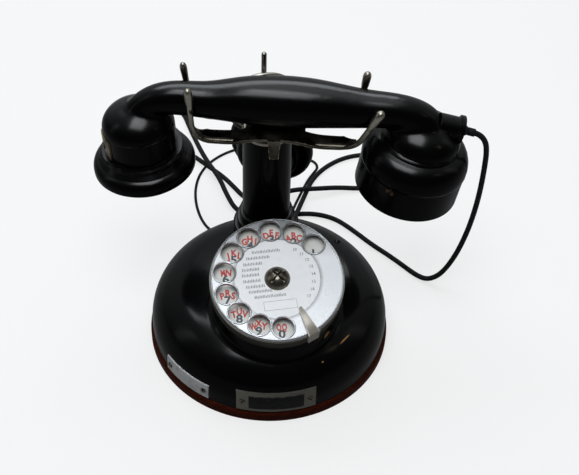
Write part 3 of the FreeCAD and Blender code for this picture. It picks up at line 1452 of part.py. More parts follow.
# The earpiece cord drops behind the column, runs round on the table and back to its gland.
earpiece_gland = gland_frames["earpiece"]
earpiece_route = [
    end_of(grip_frame, V.earpiece_grip_length), end_of(grip_frame, V.earpiece_grip_length + 5),
] + [Vector(*point) for point in (
    (-3, 79.5, 47), (-4.5, 84.5, 37), (-7.5, 89.5, 26), (-11.5, 93, 14.5), (-17, 94, 6),
    (-24.5, 92, 1.8), (-33, 92, 1.2), (-41, 99, 1.2), (-46.5, 112, 1.2), (-49.5, 129, 1.2),
    (-49, 147, 1.2), (-44.5, 163, 1.2), (-35, 177, 1.2), (-19, 188.5, 1.2), (2, 193.5, 1.2),
    (19, 189.5, 1.2), (30, 183.5, 1.2), (38, 178.5, 1.2), (44, 174, 1.2), (48.3, 171.2, 1.2),
    (50.6, 167, 1.2), (50.4, 162.4, 1.2), (47.2, 157.8, 1.2), (42, 150, 1.2), (37.7, 141, 1.2),
    (33.5, 131.5, 1.4), (29.3, 120.5, 3.4), (26.3, 111, 6.2), (22.3, 102.8, 8.8),
    (17.3, 96.3, 10.8),
)] + [
    end_of(earpiece_gland, V.gland_flange_length + 6.2),
    end_of(earpiece_gland, V.gland_flange_length),
]
cord("earpiece_cord", earpiece_route, V.earpiece_cord_diameter)

# Every object is sound before anything is written
doc.recompute()
for thing in doc.Objects:
    assert not {"Invalid", "Error"} & set(thing.State), f"{thing.Label}: {thing.State}"
for label, thing in nodes.items():
    assert not thing.Shape.isNull() and thing.Shape.isValid(), f"{label} is not a sound shape"
    assert thing.Shape.Solids, f"{label} has no solid"
os.makedirs("parts", exist_ok=True)
for label, thing in nodes.items():
    thing.Shape.exportStep(f"parts/{label}.step")
print(len(nodes), "nodes written")
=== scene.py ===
import json
import math

import bmesh
import bpy
from mathutils import Matrix, Vector


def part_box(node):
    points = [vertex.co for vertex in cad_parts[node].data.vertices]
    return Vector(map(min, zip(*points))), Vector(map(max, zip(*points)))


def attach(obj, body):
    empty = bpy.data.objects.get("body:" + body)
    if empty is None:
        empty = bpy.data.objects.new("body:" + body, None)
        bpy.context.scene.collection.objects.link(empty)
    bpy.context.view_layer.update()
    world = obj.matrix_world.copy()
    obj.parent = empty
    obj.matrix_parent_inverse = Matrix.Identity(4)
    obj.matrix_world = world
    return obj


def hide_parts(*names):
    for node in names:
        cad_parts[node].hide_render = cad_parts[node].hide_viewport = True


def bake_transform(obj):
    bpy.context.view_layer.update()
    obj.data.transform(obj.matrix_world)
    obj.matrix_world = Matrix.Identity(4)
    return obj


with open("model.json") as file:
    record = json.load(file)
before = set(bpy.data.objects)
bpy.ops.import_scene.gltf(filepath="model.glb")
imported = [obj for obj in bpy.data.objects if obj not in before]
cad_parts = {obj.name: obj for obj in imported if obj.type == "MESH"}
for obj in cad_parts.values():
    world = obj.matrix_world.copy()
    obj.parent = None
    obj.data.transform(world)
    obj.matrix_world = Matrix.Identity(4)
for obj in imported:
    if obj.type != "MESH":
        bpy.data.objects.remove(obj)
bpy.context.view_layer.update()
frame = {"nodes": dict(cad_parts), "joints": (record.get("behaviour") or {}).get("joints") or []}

# The studio: a pale table, soft light from above and behind, and a camera that looks down on the
# dial. The table glows faintly towards the lens, so that it reads as white and still takes shadows.
scene = bpy.context.scene
scene.view_settings.view_transform = "Standard"
MM = 0.001
LOOK_AT = Vector((12.6, 0.0, 89.4)) * MM
CAMERA_DISTANCE = 800 * MM
CAMERA_AZIMUTH = math.radians(-6.0)
CAMERA_ELEVATION = math.radians(45.7)
CAMERA_ROLL = math.radians(2.0)
IMAGE_WIDTH = 579
FOCAL_PIXELS = 1200
SENSOR_WIDTH = 36.0

away = Vector((
    math.sin(CAMERA_AZIMUTH) * math.cos(CAMERA_ELEVATION),
    -math.cos(CAMERA_AZIMUTH) * math.cos(CAMERA_ELEVATION),
    math.sin(CAMERA_ELEVATION),
))
level_right = Vector((0, 0, 1)).cross(away).normalized()
level_up = away.cross(level_right)
lens_right = level_right * math.cos(CAMERA_ROLL) + level_up * math.sin(CAMERA_ROLL)
lens_up = level_up * math.cos(CAMERA_ROLL) - level_right * math.sin(CAMERA_ROLL)
camera = bpy.data.objects.new("camera", bpy.data.cameras.new("camera"))
scene.collection.objects.link(camera)
camera.data.sensor_width = SENSOR_WIDTH
camera.data.lens = FOCAL_PIXELS / IMAGE_WIDTH * SENSOR_WIDTH
camera.data.clip_start = 0.01
camera_axes = Matrix((lens_right, lens_up, away)).transposed().to_4x4()
camera.matrix_world = Matrix.Translation(LOOK_AT + away * CAMERA_DISTANCE) @ camera_axes
scene.camera = camera


def soft_light(name, place, aim, size, radiance, colour):
    """A rectangular lamp of a given brightness, turned towards a point."""
    lamp = bpy.data.lights.new(name, "AREA")
    lamp.shape = "RECTANGLE"
    lamp.size, lamp.size_y = size
    lamp.energy = radiance * math.pi * size[0] * size[1]
    lamp.color = colour
    holder = bpy.data.objects.new(name, lamp)
    scene.collection.objects.link(holder)
    holder.location = place
    holder.rotation_euler = (Vector(place) - Vector(aim)).to_track_quat("Z", "Y").to_euler()


DAYLIGHT = (0.95, 0.98, 1.0)
soft_light(
    "ceiling", (0.03, 0.2, 1.35), (0.02, 0.0, 0.1), size=(1.1, 0.7), radiance=0.95, colour=DAYLIGHT)
soft_light(
    "lamp_panel", (-0.15, -0.36, 1.4), (0.02, 0.0, 0.1), size=(0.85, 0.65), radiance=5.7,
    colour=DAYLIGHT)
soft_light(
    "back_window", (-0.1, 0.75, 1.05), (0.0, 0.04, 0.16), size=(1.3, 0.45), radiance=3.6,
    colour=(0.9, 0.95, 1.0))
soft_light(
    "left_window", (-1.15, 0.05, 0.55), (0.0, 0.03, 0.1), size=(0.2, 0.8), radiance=0.8,
    colour=DAYLIGHT)
soft_light(
    "right_window", (1.15, 0.0, 0.55), (0.0, 0.03, 0.1), size=(0.2, 0.8), radiance=0.45,
    colour=(1.0, 0.98, 0.95))
soft_light(
    "room_lamp", (0.62, -0.28, 0.62), (0.1, 0.03, 0.14), size=(0.04, 0.04), radiance=10.0,
    colour=(1.0, 0.78, 0.5))


def add_node(tree, kind, settings=None, **values):
    """A node with its settings and the values of its plain sockets."""
    node = tree.nodes.new(kind)
    for key, value in (settings or {}).items():
        setattr(node, key, value)
    for key, value in values.items():
        node.inputs[key.replace("_", " ")].default_value = value
    return node


def wire(tree, *links):
    """Links between nodes, each as a node, its output, the next node and its input."""
    for source, output, target, socket in links:
        tree.links.new(source.outputs[output], target.inputs[socket])


AIR_FRONT, AIR_BACK, AIR_SEEN = 0.06, 0.32, 0.88
world = bpy.data.worlds.new("studio_air")
scene.world = world
world.use_nodes = True
air = world.node_tree
air_fill = air.nodes["Background"]
air_fill.inputs["Color"].default_value = (*DAYLIGHT, 1)
air_space = add_node(air, "ShaderNodeTexCoord")
air_split = add_node(air, "ShaderNodeSeparateXYZ")
air_depth = add_node(
    air, "ShaderNodeMapRange", From_Min=-0.6, From_Max=0.8, To_Min=AIR_FRONT, To_Max=AIR_BACK)
air_paths = add_node(air, "ShaderNodeLightPath")
air_seen = add_node(air, "ShaderNodeMath", {"operation": "MULTIPLY"})
air_seen.inputs[1].default_value = AIR_SEEN
air_strength = add_node(air, "ShaderNodeMath", {"operation": "MAXIMUM"})
wire(
    air, (air_space, "Generated", air_split, "Vector"), (air_split, "Y", air_depth, "Value"),
    (air_paths, "Is Camera Ray", air_seen, 0), (air_seen, "Value", air_strength, 0),
    (air_depth, "Result", air_strength, 1), (air_strength, "Value", air_fill, "Strength"))


def new_finish(name):
    """A material with its own Principled shader."""
    finish = bpy.data.materials.new(name)
    finish.use_nodes = True
    return finish, finish.node_tree, finish.node_tree.nodes["Principled BSDF"]


TABLE_REACH = 9.0
TABLE_GREY = 0.26
TABLE_GLOW = 0.68
MIRRORED_SHARE = 0.15
table_mesh = bpy.data.meshes.new("table")
table_corners = [(-1, -1), (1, -1), (1, 1), (-1, 1)]
table_mesh.from_pydata(
    [(x * TABLE_REACH, y * TABLE_REACH, 0) for x, y in table_corners], [], [(0, 1, 2, 3)])
table = bpy.data.objects.new("table", table_mesh)
scene.collection.objects.link(table)
table_paint, tree, shader = new_finish("table_paint")
shader.inputs["Base Color"].default_value = (TABLE_GREY, TABLE_GREY, TABLE_GREY, 1)
shader.inputs["Roughness"].default_value = 0.9
shader.inputs["Specular IOR Level"].default_value = 0.0
shader.inputs["Emission Color"].default_value = (1, 1, 1, 1)
seen_paths = add_node(tree, "ShaderNodeLightPath")
mirrored = add_node(tree, "ShaderNodeMath", {"operation": "MULTIPLY"})
mirrored.inputs[1].default_value = MIRRORED_SHARE
seen_or_glossy = add_node(tree, "ShaderNodeMath", {"operation": "MAXIMUM"})
seen_or_clear = add_node(tree, "ShaderNodeMath", {"operation": "MAXIMUM"})
glow = add_node(tree, "ShaderNodeMath", {"operation": "MULTIPLY"})
glow.inputs[1].default_value = TABLE_GLOW
wire(
    tree, (seen_paths, "Is Camera Ray", seen_or_glossy, 0),
    (seen_paths, "Is Glossy Ray", mirrored, 0), (mirrored, "Value", seen_or_glossy, 1),
    (seen_or_glossy, "Value", seen_or_clear, 0),
    (seen_paths, "Is Transmission Ray", seen_or_clear, 1), (seen_or_clear, "Value", glow, 0),
    (glow, "Value", shader, "Emission Strength"))
table_mesh.materials.append(table_paint)


# The foot: a turned disc of red-brown hardwood under French polish, with its edge rounded over.
# Three screws, sunk into its underside, hold the shell to it.
def new_group(name, inputs, outputs):
    """An empty shader node group with named sockets."""
    group = bpy.data.node_groups.new(name, "ShaderNodeTree")
    for label, value in inputs.items():
        socket = group.interface.new_socket(label, in_out="INPUT", socket_type="NodeSocketFloat")
        socket.default_value = value
    for label in outputs:
        group.interface.new_socket(label, in_out="OUTPUT", socket_type="NodeSocketFloat")
    return group, group.nodes.new("NodeGroupInput"), group.nodes.new("NodeGroupOutput")


# Handling marks that polish, enamel, moulding and plate all share: patches that are duller than the
# rest, and a faint ripple of the surface.
handling, entry, leave = new_group(
    "handling_marks", {"Scale": 40.0, "Smooth": 0.1, "Dull": 0.3, "Ripple": 400.0},
    ["Roughness", "Height", "Patches"])
space = add_node(handling, "ShaderNodeTexCoord")
patches = add_node(handling, "ShaderNodeTexNoise", Detail=6.0, Roughness=0.62)
ripples = add_node(handling, "ShaderNodeTexNoise", Detail=2.0)
spread = add_node(handling, "ShaderNodeMapRange", From_Min=0.36, From_Max=0.68)
wire(
    handling, (space, "Object", patches, "Vector"), (space, "Object", ripples, "Vector"),
    (entry, "Scale", patches, "Scale"), (entry, "Ripple", ripples, "Scale"),
    (patches, "Fac", spread, "Value"), (entry, "Smooth", spread, "To Min"),
    (entry, "Dull", spread, "To Max"), (spread, "Result", leave, "Roughness"),
    (ripples, "Fac", leave, "Height"), (patches, "Fac", leave, "Patches"))

# Rubbed edges: where two faces meet, the finish is worn through in broken stretches.
# The bevelled normal finds the edges, and noise breaks them up.
rubbed, entry, leave = new_group(
    "rubbed_edges", {"Reach": 0.0006, "Breaks": 260.0, "Amount": 0.6}, ["Mask"])
space = add_node(rubbed, "ShaderNodeTexCoord")
shape = add_node(rubbed, "ShaderNodeNewGeometry")
rounded = add_node(rubbed, "ShaderNodeBevel", {"samples": 4})
facing = add_node(rubbed, "ShaderNodeVectorMath", {"operation": "DOT_PRODUCT"})
edges = add_node(rubbed, "ShaderNodeMapRange", From_Min=0.985, From_Max=0.86)
breaks = add_node(rubbed, "ShaderNodeTexNoise", Detail=4.0)
broken = add_node(rubbed, "ShaderNodeMapRange", From_Min=0.44, From_Max=0.66)
both = add_node(rubbed, "ShaderNodeMath", {"operation": "MULTIPLY"})
scaled = add_node(rubbed, "ShaderNodeMath", {"operation": "MULTIPLY", "use_clamp": True})
wire(
    rubbed, (entry, "Reach", rounded, "Radius"), (rounded, "Normal", facing, 0),
    (shape, "Normal", facing, 1), (facing, "Value", edges, "Value"),
    (space, "Object", breaks, "Vector"), (entry, "Breaks", breaks, "Scale"),
    (breaks, "Fac", broken, "Value"), (edges, "Result", both, 0), (broken, "Result", both, 1),
    (both, "Value", scaled, 0), (entry, "Amount", scaled, 1), (scaled, "Value", leave, "Mask"))


def place_group(tree, group, **values):
    """A node group set into a material with its own values."""
    node = tree.nodes.new("ShaderNodeGroup")
    node.node_tree = group
    for key, value in values.items():
        node.inputs[key.capitalize()].default_value = value
    return node


def mixed_colour(tree, factor, first, second):
    """Two colours, or a colour socket and a colour, mixed by a mask."""
    mix = add_node(tree, "ShaderNodeMix", {"data_type": "RGBA"})
    tree.links.new(factor, mix.inputs["Factor"])
    for side, colour in (("A", first), ("B", second)):
        socket = [entry for entry in mix.inputs if entry.name == side and entry.type == "RGBA"][0]
        if isinstance(colour, tuple):
            socket.default_value = (*colour, 1)
        else:
            tree.links.new(colour, socket)
    return [entry for entry in mix.outputs if entry.type == "RGBA"][0]


def edge_worn(tree, colour, bare, **wear):
    """A colour that is worn through to a bare one along its edges."""
    worn = place_group(tree, rubbed, **wear)
    return mixed_colour(tree, worn.outputs["Mask"], colour, bare)


def surface(tree, shader, colour, marks, strength, distance, height=None, **constants):
    """The colour, roughness, relief and fixed values of a finish."""
    bump = add_node(tree, "ShaderNodeBump", Strength=strength, Distance=distance)
    tree.links.new(colour, shader.inputs["Base Color"])
    tree.links.new(height or marks.outputs["Height"], bump.inputs["Height"])
    wire(tree, (marks, "Roughness", shader, "Roughness"), (bump, "Normal", shader, "Normal"))
    for key, value in constants.items():
        shader.inputs[key.replace("_", " ")].default_value = value


def dress(nodes, finish):
    """Give CAD nodes a finish."""
    for node in nodes:
        mesh = frame["nodes"][node].data
        mesh.materials.clear()
        mesh.materials.append(finish)


polished_wood, tree, shader = new_finish("polished_wood")
space = add_node(tree, "ShaderNodeTexCoord")
along_grain = add_node(tree, "ShaderNodeMapping", Scale=(18.0, 160.0, 120.0))
grain = add_node(tree, "ShaderNodeTexNoise", Scale=2.2, Detail=8.0, Roughness=0.66, Distortion=0.6)
grain_range = add_node(tree, "ShaderNodeMapRange", From_Min=0.32, From_Max=0.7)
pores = add_node(tree, "ShaderNodeTexNoise", Scale=9.0, Detail=3.0)
pore_range = add_node(tree, "ShaderNodeMapRange", From_Min=0.56, From_Max=0.7)
wire(
    tree, (space, "Object", along_grain, "Vector"), (along_grain, "Vector", grain, "Vector"),
    (along_grain, "Vector", pores, "Vector"), (grain, "Fac", grain_range, "Value"),
    (pores, "Fac", pore_range, "Value"))
red_brown = mixed_colour(
    tree, grain_range.outputs["Result"], (0.028, 0.0042, 0.0016), (0.072, 0.0125, 0.0046))
dark_pores = mixed_colour(tree, pore_range.outputs["Result"], red_brown, (0.008, 0.002, 0.001))
bare_wood = edge_worn(
    tree, dark_pores, (0.15, 0.042, 0.016), reach=0.0012, breaks=140.0, amount=0.3)
marks = place_group(tree, handling, scale=30.0, smooth=0.42, dull=0.62, ripple=300.0)
surface(
    tree, shader, bare_wood, marks, strength=0.25, distance=0.0004, height=grain.outputs["Fac"],
    Specular_IOR_Level=0.03)
dress(["wood_base"], polished_wood)

# The shell and the column: pressed and turned metal under black stove enamel. Screws from below
# hold the shell to the foot, and the column stands in its collar behind the dial. The edges are
# scuffed, and primer the colour of brass shows in a few scratches.

# Settled dust: fine specks on what faces up, thicker in drifts.
dust, entry, leave = new_group("settled_dust", {"Scale": 900.0, "Amount": 0.5}, ["Mask"])
space = add_node(dust, "ShaderNodeTexCoord")
shape = add_node(dust, "ShaderNodeNewGeometry")
split = add_node(dust, "ShaderNodeSeparateXYZ")
upward = add_node(dust, "ShaderNodeMapRange", From_Min=0.1, From_Max=0.9)
specks = add_node(dust, "ShaderNodeTexNoise", Detail=5.0, Roughness=0.7)
fine = add_node(dust, "ShaderNodeMapRange", From_Min=0.58, From_Max=0.76)
drifts = add_node(dust, "ShaderNodeTexNoise", Scale=34.0, Detail=3.0)
thick = add_node(dust, "ShaderNodeMapRange", From_Min=0.4, From_Max=0.7)
lying = add_node(dust, "ShaderNodeMath", {"operation": "MULTIPLY"})
drifted = add_node(dust, "ShaderNodeMath", {"operation": "MULTIPLY"})
scaled = add_node(dust, "ShaderNodeMath", {"operation": "MULTIPLY", "use_clamp": True})
wire(
    dust, (shape, "Normal", split, "Vector"), (split, "Z", upward, "Value"),
    (space, "Object", specks, "Vector"), (entry, "Scale", specks, "Scale"),
    (specks, "Fac", fine, "Value"), (space, "Object", drifts, "Vector"),
    (drifts, "Fac", thick, "Value"), (upward, "Result", lying, 0), (fine, "Result", lying, 1),
    (lying, "Value", drifted, 0), (thick, "Result", drifted, 1), (drifted, "Value", scaled, 0),
    (entry, "Amount", scaled, 1), (scaled, "Value", leave, "Mask"))

# Upper polish: faces that look up are rubbed with every dusting and keep their gloss.
# The sides have gone matt.
glossed, entry, leave = new_group("upper_polish", {"Amount": 0.6}, ["Mask"])
shape = add_node(glossed, "ShaderNodeNewGeometry")
split = add_node(glossed, "ShaderNodeSeparateXYZ")
upward = add_node(glossed, "ShaderNodeMapRange", From_Min=0.62, From_Max=0.95)
scaled = add_node(glossed, "ShaderNodeMath", {"operation": "MULTIPLY"})
wire(
    glossed, (shape, "Normal", split, "Vector"), (split, "Z", upward, "Value"),
    (upward, "Result", scaled, 0), (entry, "Amount", scaled, 1), (scaled, "Value", leave, "Mask"))

black_enamel, tree, shader = new_finish("black_enamel")
specks = place_group(tree, dust, scale=1500.0, amount=0.5)
dusty = mixed_colour(tree, specks.outputs["Mask"], (0.0014, 0.0014, 0.0017), (0.05, 0.05, 0.054))
scratched = edge_worn(tree, dusty, (0.16, 0.12, 0.07), reach=0.0008, breaks=210.0, amount=0.5)
SCRATCHES = [
    ((34.2, -52.6, 50.0), 49, 3.8, 0.32), ((46.8, -50.6, 42.0), 46, 6.0, 0.5),
    ((30.5, -66.3, 38.7), 35, 0.9, 0.5)]
SCRATCH_DEPTH = 3
space = add_node(tree, "ShaderNodeTexCoord")
for middle, turn, half_length, half_width in SCRATCHES:
    streak = add_node(
        tree, "ShaderNodeMapping", {"vector_type": "TEXTURE"}, Location=Vector(middle) * MM,
        Rotation=(0.0, 0.0, math.radians(turn)),
        Scale=(half_length * MM, half_width * MM, SCRATCH_DEPTH * MM))
    reach = add_node(tree, "ShaderNodeVectorMath", {"operation": "LENGTH"})
    inside = add_node(tree, "ShaderNodeMapRange", From_Min=1.0, From_Max=0.6)
    wire(
        tree, (space, "Object", streak, "Vector"), (streak, "Vector", reach, 0),
        (reach, "Value", inside, "Value"))
    scratched = mixed_colour(tree, inside.outputs["Result"], scratched, (0.34, 0.19, 0.06))
marks = place_group(tree, handling, scale=26.0, smooth=0.1, dull=0.27, ripple=520.0)
surface(
    tree, shader, scratched, marks, strength=0.035, distance=0.0004, Coat_Roughness=0.2,
    Specular_IOR_Level=0.06)
gloss = place_group(tree, glossed, amount=0.45)
wire(tree, (gloss, "Mask", shader, "Coat Weight"))
dress(["dome_shell", "column_foot", "column_tube", "dome_screw"], black_enamel)


# The hook for the second earpiece, the column's bush and the earpiece's ring: brass, turned or
# bent from strip, under nickel plate. Handling has dulled the plate to a warm grey, and it is
# bright where it is rubbed.
def patchy(tree, marks, first, second, low, high):
    """A colour that goes over into another where the handling patches are strong."""
    change = add_node(tree, "ShaderNodeMapRange", From_Min=low, From_Max=high)
    wire(tree, (marks, "Patches", change, "Value"))
    return mixed_colour(tree, change.outputs["Result"], first, second)


worn_nickel, tree, shader = new_finish("worn_nickel")
marks = place_group(tree, handling, scale=85.0, smooth=0.17, dull=0.42, ripple=900.0)
dulled = patchy(tree, marks, (0.4, 0.385, 0.35), (0.22, 0.2, 0.165), low=0.4, high=0.66)
bright_edges = edge_worn(tree, dulled, (0.8, 0.74, 0.62), reach=0.0005, breaks=320.0, amount=0.85)
surface(tree, shader, bright_edges, marks, strength=0.05, distance=0.0002, Metallic=1.0)
dress(["hook_bracket", "column_bush", "earpiece_ring"], worn_nickel)

# The front plate and the dial case: pressed sheet under the same nickel, gone dull and dark all
# over. The case sits in the mouth of the turret, and screws hold the plate to the shell.
dark_nickel, tree, shader = new_finish("dark_nickel")
marks = place_group(tree, handling, scale=46.0, smooth=0.34, dull=0.46, ripple=900.0)
dulled = patchy(tree, marks, (0.17, 0.165, 0.145), (0.12, 0.115, 0.1), low=0.3, high=0.75)
bright_edges = edge_worn(tree, dulled, (0.42, 0.4, 0.35), reach=0.0004, breaks=220.0, amount=0.5)
surface(tree, shader, bright_edges, marks, strength=0.04, distance=0.0002, Metallic=1.0)
dress(["front_plate", "dial_case"], dark_nickel)

# The fork: nickelled strip, bent up into four prongs and fixed on top of the plunger. Its strip
# is painted almost black, a painted reflection of the black handset above it, and it is bright
# along its edges and up the prongs, where the handle slides over them.
fork_nickel, tree, shader = new_finish("fork_nickel")
STRIP_TOP, PRONG_FOOT = 0.15, 0.172
PATCH_SPREAD, PATCH_SHIFT = 0.9, -0.45
space = add_node(tree, "ShaderNodeTexCoord")
split = add_node(tree, "ShaderNodeSeparateXYZ")
marks = place_group(tree, handling, scale=95.0, smooth=0.2, dull=0.44, ripple=900.0)
height_up_the_prongs = add_node(tree, "ShaderNodeMapRange", From_Min=STRIP_TOP, From_Max=PRONG_FOOT)
uneven = add_node(tree, "ShaderNodeMath", {"operation": "MULTIPLY_ADD"})
uneven.inputs[1].default_value = PATCH_SPREAD
uneven.inputs[2].default_value = PATCH_SHIFT
strip_reflection_mask = add_node(tree, "ShaderNodeMath", {"operation": "ADD", "use_clamp": True})
wire(
    tree, (space, "Object", split, "Vector"), (split, "Z", height_up_the_prongs, "Value"),
    (marks, "Patches", uneven, 0), (height_up_the_prongs, "Result", strip_reflection_mask, 0),
    (uneven, "Value", strip_reflection_mask, 1))
# Painted reflection: the strip below the prongs is mixed towards near-black.
strip_with_painted_reflection = mixed_colour(
    tree, strip_reflection_mask.outputs["Value"], (0.04, 0.035, 0.026), (0.36, 0.335, 0.28))
bright_edges = edge_worn(tree, strip_with_painted_reflection, (0.72, 0.66, 0.53), reach=0.0006, breaks=300.0, amount=1.0)
surface(tree, shader, bright_edges, marks, strength=0.05, distance=0.0002, Metallic=1.0)
dress(["cradle_fork"], fork_nickel)

# The drops: each prong swells into a smooth drop at its end, in one piece with it, so that the
# handle slides in without a scratch.
LATHE_STEPS = 40


def turned(shape, foot, axis, profile):
    """A turned form: (way along the axis, radius) in millimetres, swept round it from a foot."""
    up = Vector(axis).normalized()
    side = up.orthogonal().normalized()
    across = up.cross(side)
    rings = []
    for along, radius in profile:
        ring = []
        for step in range(LATHE_STEPS):
            turn = 2 * math.pi * step / LATHE_STEPS
            out = side * math.cos(turn) + across * math.sin(turn)
            ring.append(shape.verts.new((Vector(foot) + up * along + out * radius) * MM))
        rings.append(ring)
    for lower, upper in zip(rings, rings[1:]):
        for step in range(LATHE_STEPS):
            corners = (lower[step - 1], lower[step], upper[step], upper[step - 1])
            shape.faces.new(corners).smooth = True
    shape.faces.new(rings[0][::-1])
    shape.faces.new(rings[-1])


def new_piece(name, shape, finish):
    """A built shape as a piece of its own, with its finish."""
    mesh = bpy.data.meshes.new(name)
    shape.to_mesh(mesh)
    shape.free()
    mesh.materials.append(finish)
    piece = bpy.data.objects.new(name, mesh)
    scene.collection.objects.link(piece)
    return piece


PRONG_TIPS = [
    ((-50.93, 33.07, 188.9), (-2.58, 0.34, 38.5), 1.16),
    ((-53.31, 64.65, 185.4), (-4.46, 0.59, 35.0), 1.0),
    ((69.37, 17.25, 178.9), (13.88, -1.83, 28.5), 1.3),
    ((64.44, 49.14, 185.4), (4.46, -0.59, 35.0), 1.16)]
DROP = [
    (-17, 1.85), (-12, 2.0), (-8, 2.16), (-4, 2.34), (-1.5, 2.4), (0.4, 2.14), (1.5, 1.6),
    (2.2, 0.9), (2.45, 0.2)]
DROP_ROOT = -12
drops = bmesh.new()
for tip, lean, swell in PRONG_TIPS:
    profile = [(along, radius * (swell if along > DROP_ROOT else 1)) for along, radius in DROP]
    turned(drops, tip, lean, profile)
prong_drops = new_piece("prong_drops", drops, fork_nickel)
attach(prong_drops, "cradle")

# The bare side plate: a strip of thin bright sheet with a fine rolled grain, curved to the shell's
# skirt and held by two screws.
rolled_plate, tree, shader = new_finish("rolled_plate")
space = add_node(tree, "ShaderNodeTexCoord")
rolled = add_node(tree, "ShaderNodeMapping", Scale=(160.0, 160.0, 2600.0))
lines = add_node(tree, "ShaderNodeTexNoise", Scale=1.0, Detail=3.0)
wire(tree, (space, "Object", rolled, "Vector"), (rolled, "Vector", lines, "Vector"))
marks = place_group(tree, handling, scale=120.0, smooth=0.36, dull=0.6, ripple=900.0)
stained = patchy(tree, marks, (0.54, 0.545, 0.55), (0.34, 0.335, 0.325), low=0.5, high=0.72)
surface(
    tree, shader, stained, marks, strength=0.08, distance=0.0001, height=lines.outputs["Fac"],
    Metallic=0.75)
dress(["side_plate"], rolled_plate)

# The bare panel of the front plate: a thin slip set into its frame and painted black. The paint has
# worn thin in patches and along its edges.
black_panel, tree, shader = new_finish("black_panel")
marks = place_group(tree, handling, scale=140.0, smooth=0.4, dull=0.65, ripple=1100.0)
thin_paint = patchy(tree, marks, (0.004, 0.004, 0.005), (0.06, 0.057, 0.05), low=0.6, high=0.74)
rubbed_paint = edge_worn(
    tree, thin_paint, (0.2, 0.18, 0.14), reach=0.0007, breaks=300.0, amount=0.8)
surface(tree, shader, rubbed_paint, marks, strength=0.08, distance=0.0001, Specular_IOR_Level=0.15)
dress(["front_panel"], black_panel)

# The finger stop: a tapered blade of satin nickel with a low ridge, bent down over the rim of the
# dial case. The plane and the centre of everything on the dial come from the dial's own hinge.
dial_hinge = [joint for joint in frame["joints"] if joint["name"] == "dial_turn"][0]
dial_centre = Vector(dial_hinge["pos_m"])
dial_out = -Vector(dial_hinge["axis"]).normalized()
dial_right = Vector((1, 0, 0))
dial_up = dial_out.cross(dial_right).normalized()
dial_turned = Matrix((dial_right, dial_up, dial_out)).transposed().to_4x4()
dial_axes = Matrix.Translation(dial_centre) @ dial_turned
STOP_TIP = ((12.2, -22.4), (14.1, -21.3), 0.2)
STOP_FOOT = ((17.7, -42.7), (24.8, -39.0), 0.35)
STOP_TOP = 2.2
RIDGE_STEPS = 10
stop_nickel, tree, shader = new_finish("stop_nickel")
marks = place_group(tree, handling, scale=120.0, smooth=0.46, dull=0.58, ripple=900.0)
dulled = patchy(tree, marks, (0.58, 0.54, 0.48), (0.44, 0.41, 0.36), low=0.4, high=0.75)
bright_edges = edge_worn(tree, dulled, (0.88, 0.83, 0.76), reach=0.0006, breaks=120.0, amount=1.0)
surface(tree, shader, bright_edges, marks, strength=0.03, distance=0.0002, Metallic=0.55)
ridge = bmesh.new()
rows = []
for left, right, rise in (STOP_TIP, STOP_FOOT):
    row = []
    for step in range(RIDGE_STEPS + 1):
        share = step / RIDGE_STEPS
        spot = Vector(left).lerp(Vector(right), share)
        top = STOP_TOP + rise * (1 - (2 * share - 1) ** 2)
        row.append(ridge.verts.new(Vector((spot.x, spot.y, top)) * MM))
    rows.append(row)
for step in range(RIDGE_STEPS):
    corners = (rows[0][step], rows[1][step], rows[1][step + 1], rows[0][step + 1])
    ridge.faces.new(corners).smooth = True
for row in rows:
    ridge.faces.new(row)
bmesh.ops.recalc_face_normals(ridge, faces=ridge.faces)
bmesh.ops.transform(ridge, matrix=dial_axes, verts=ridge.verts)
stop_ridge = new_piece("stop_ridge", ridge, stop_nickel)
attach(stop_ridge, "base")
dress(["finger_stop"], stop_nickel)

# The number plate: a ring of steel under white enamel, fixed in the dial case below the finger
# holes. Red letters and dark digits are painted on it, and it has yellowed in patches.
white_enamel, tree, shader = new_finish("white_enamel")
marks = place_group(tree, handling, scale=60.0, smooth=0.2, dull=0.4, ripple=700.0)
aged = patchy(tree, marks, (0.78, 0.78, 0.75), (0.6, 0.58, 0.51), low=0.42, high=0.75)
surface(tree, shader, aged, marks, strength=0.05, distance=0.0002)
dress(["number_plate"], white_enamel)


def sign_paint(name, full, faded):
    """Thin paint for letters and digits, a little uneven."""
    finish, tree, shader = new_finish(name)
    marks = place_group(tree, handling, scale=420.0, smooth=0.35, dull=0.6, ripple=1500.0)
    uneven = patchy(tree, marks, full, faded, low=0.45, high=0.75)
    tree.links.new(uneven, shader.inputs["Base Color"])
    wire(tree, (marks, "Roughness", shader, "Roughness"))
    return finish


CAP_SHARE = 0.70
WIDE_LETTERS = 0.74


def set_type(name, marks, depth, width, swell, finish):
    """Flat type on a plane of the dial: (text, right, up, capital height, turn) in millimetres."""
    sheet = bmesh.new()
    for text, right, up, height, turn in marks:
        narrow = width * WIDE_LETTERS if text in "MWOQ" else width
        line = bpy.data.curves.new("type_line", "FONT")
        line.body = text
        line.size = height / CAP_SHARE * MM
        line.align_x = "CENTER"
        line.align_y = "CENTER"
        line.resolution_u = 3
        line.offset = swell * MM
        slug = bpy.data.objects.new("type_line", line)
        letters = bpy.data.meshes.new_from_object(slug)
        place = Matrix.Translation((right * MM, up * MM, depth * MM))
        tilt = Matrix.Rotation(math.radians(turn), 4, "Z")
        letters.transform(place @ tilt @ Matrix.Diagonal((narrow, 1, 1, 1)))
        sheet.from_mesh(letters)
        bpy.data.meshes.remove(letters)
        bpy.data.objects.remove(slug)
        bpy.data.curves.remove(line)
    bmesh.ops.transform(sheet, matrix=dial_axes, verts=sheet.verts)
    return new_piece(name, sheet, finish)


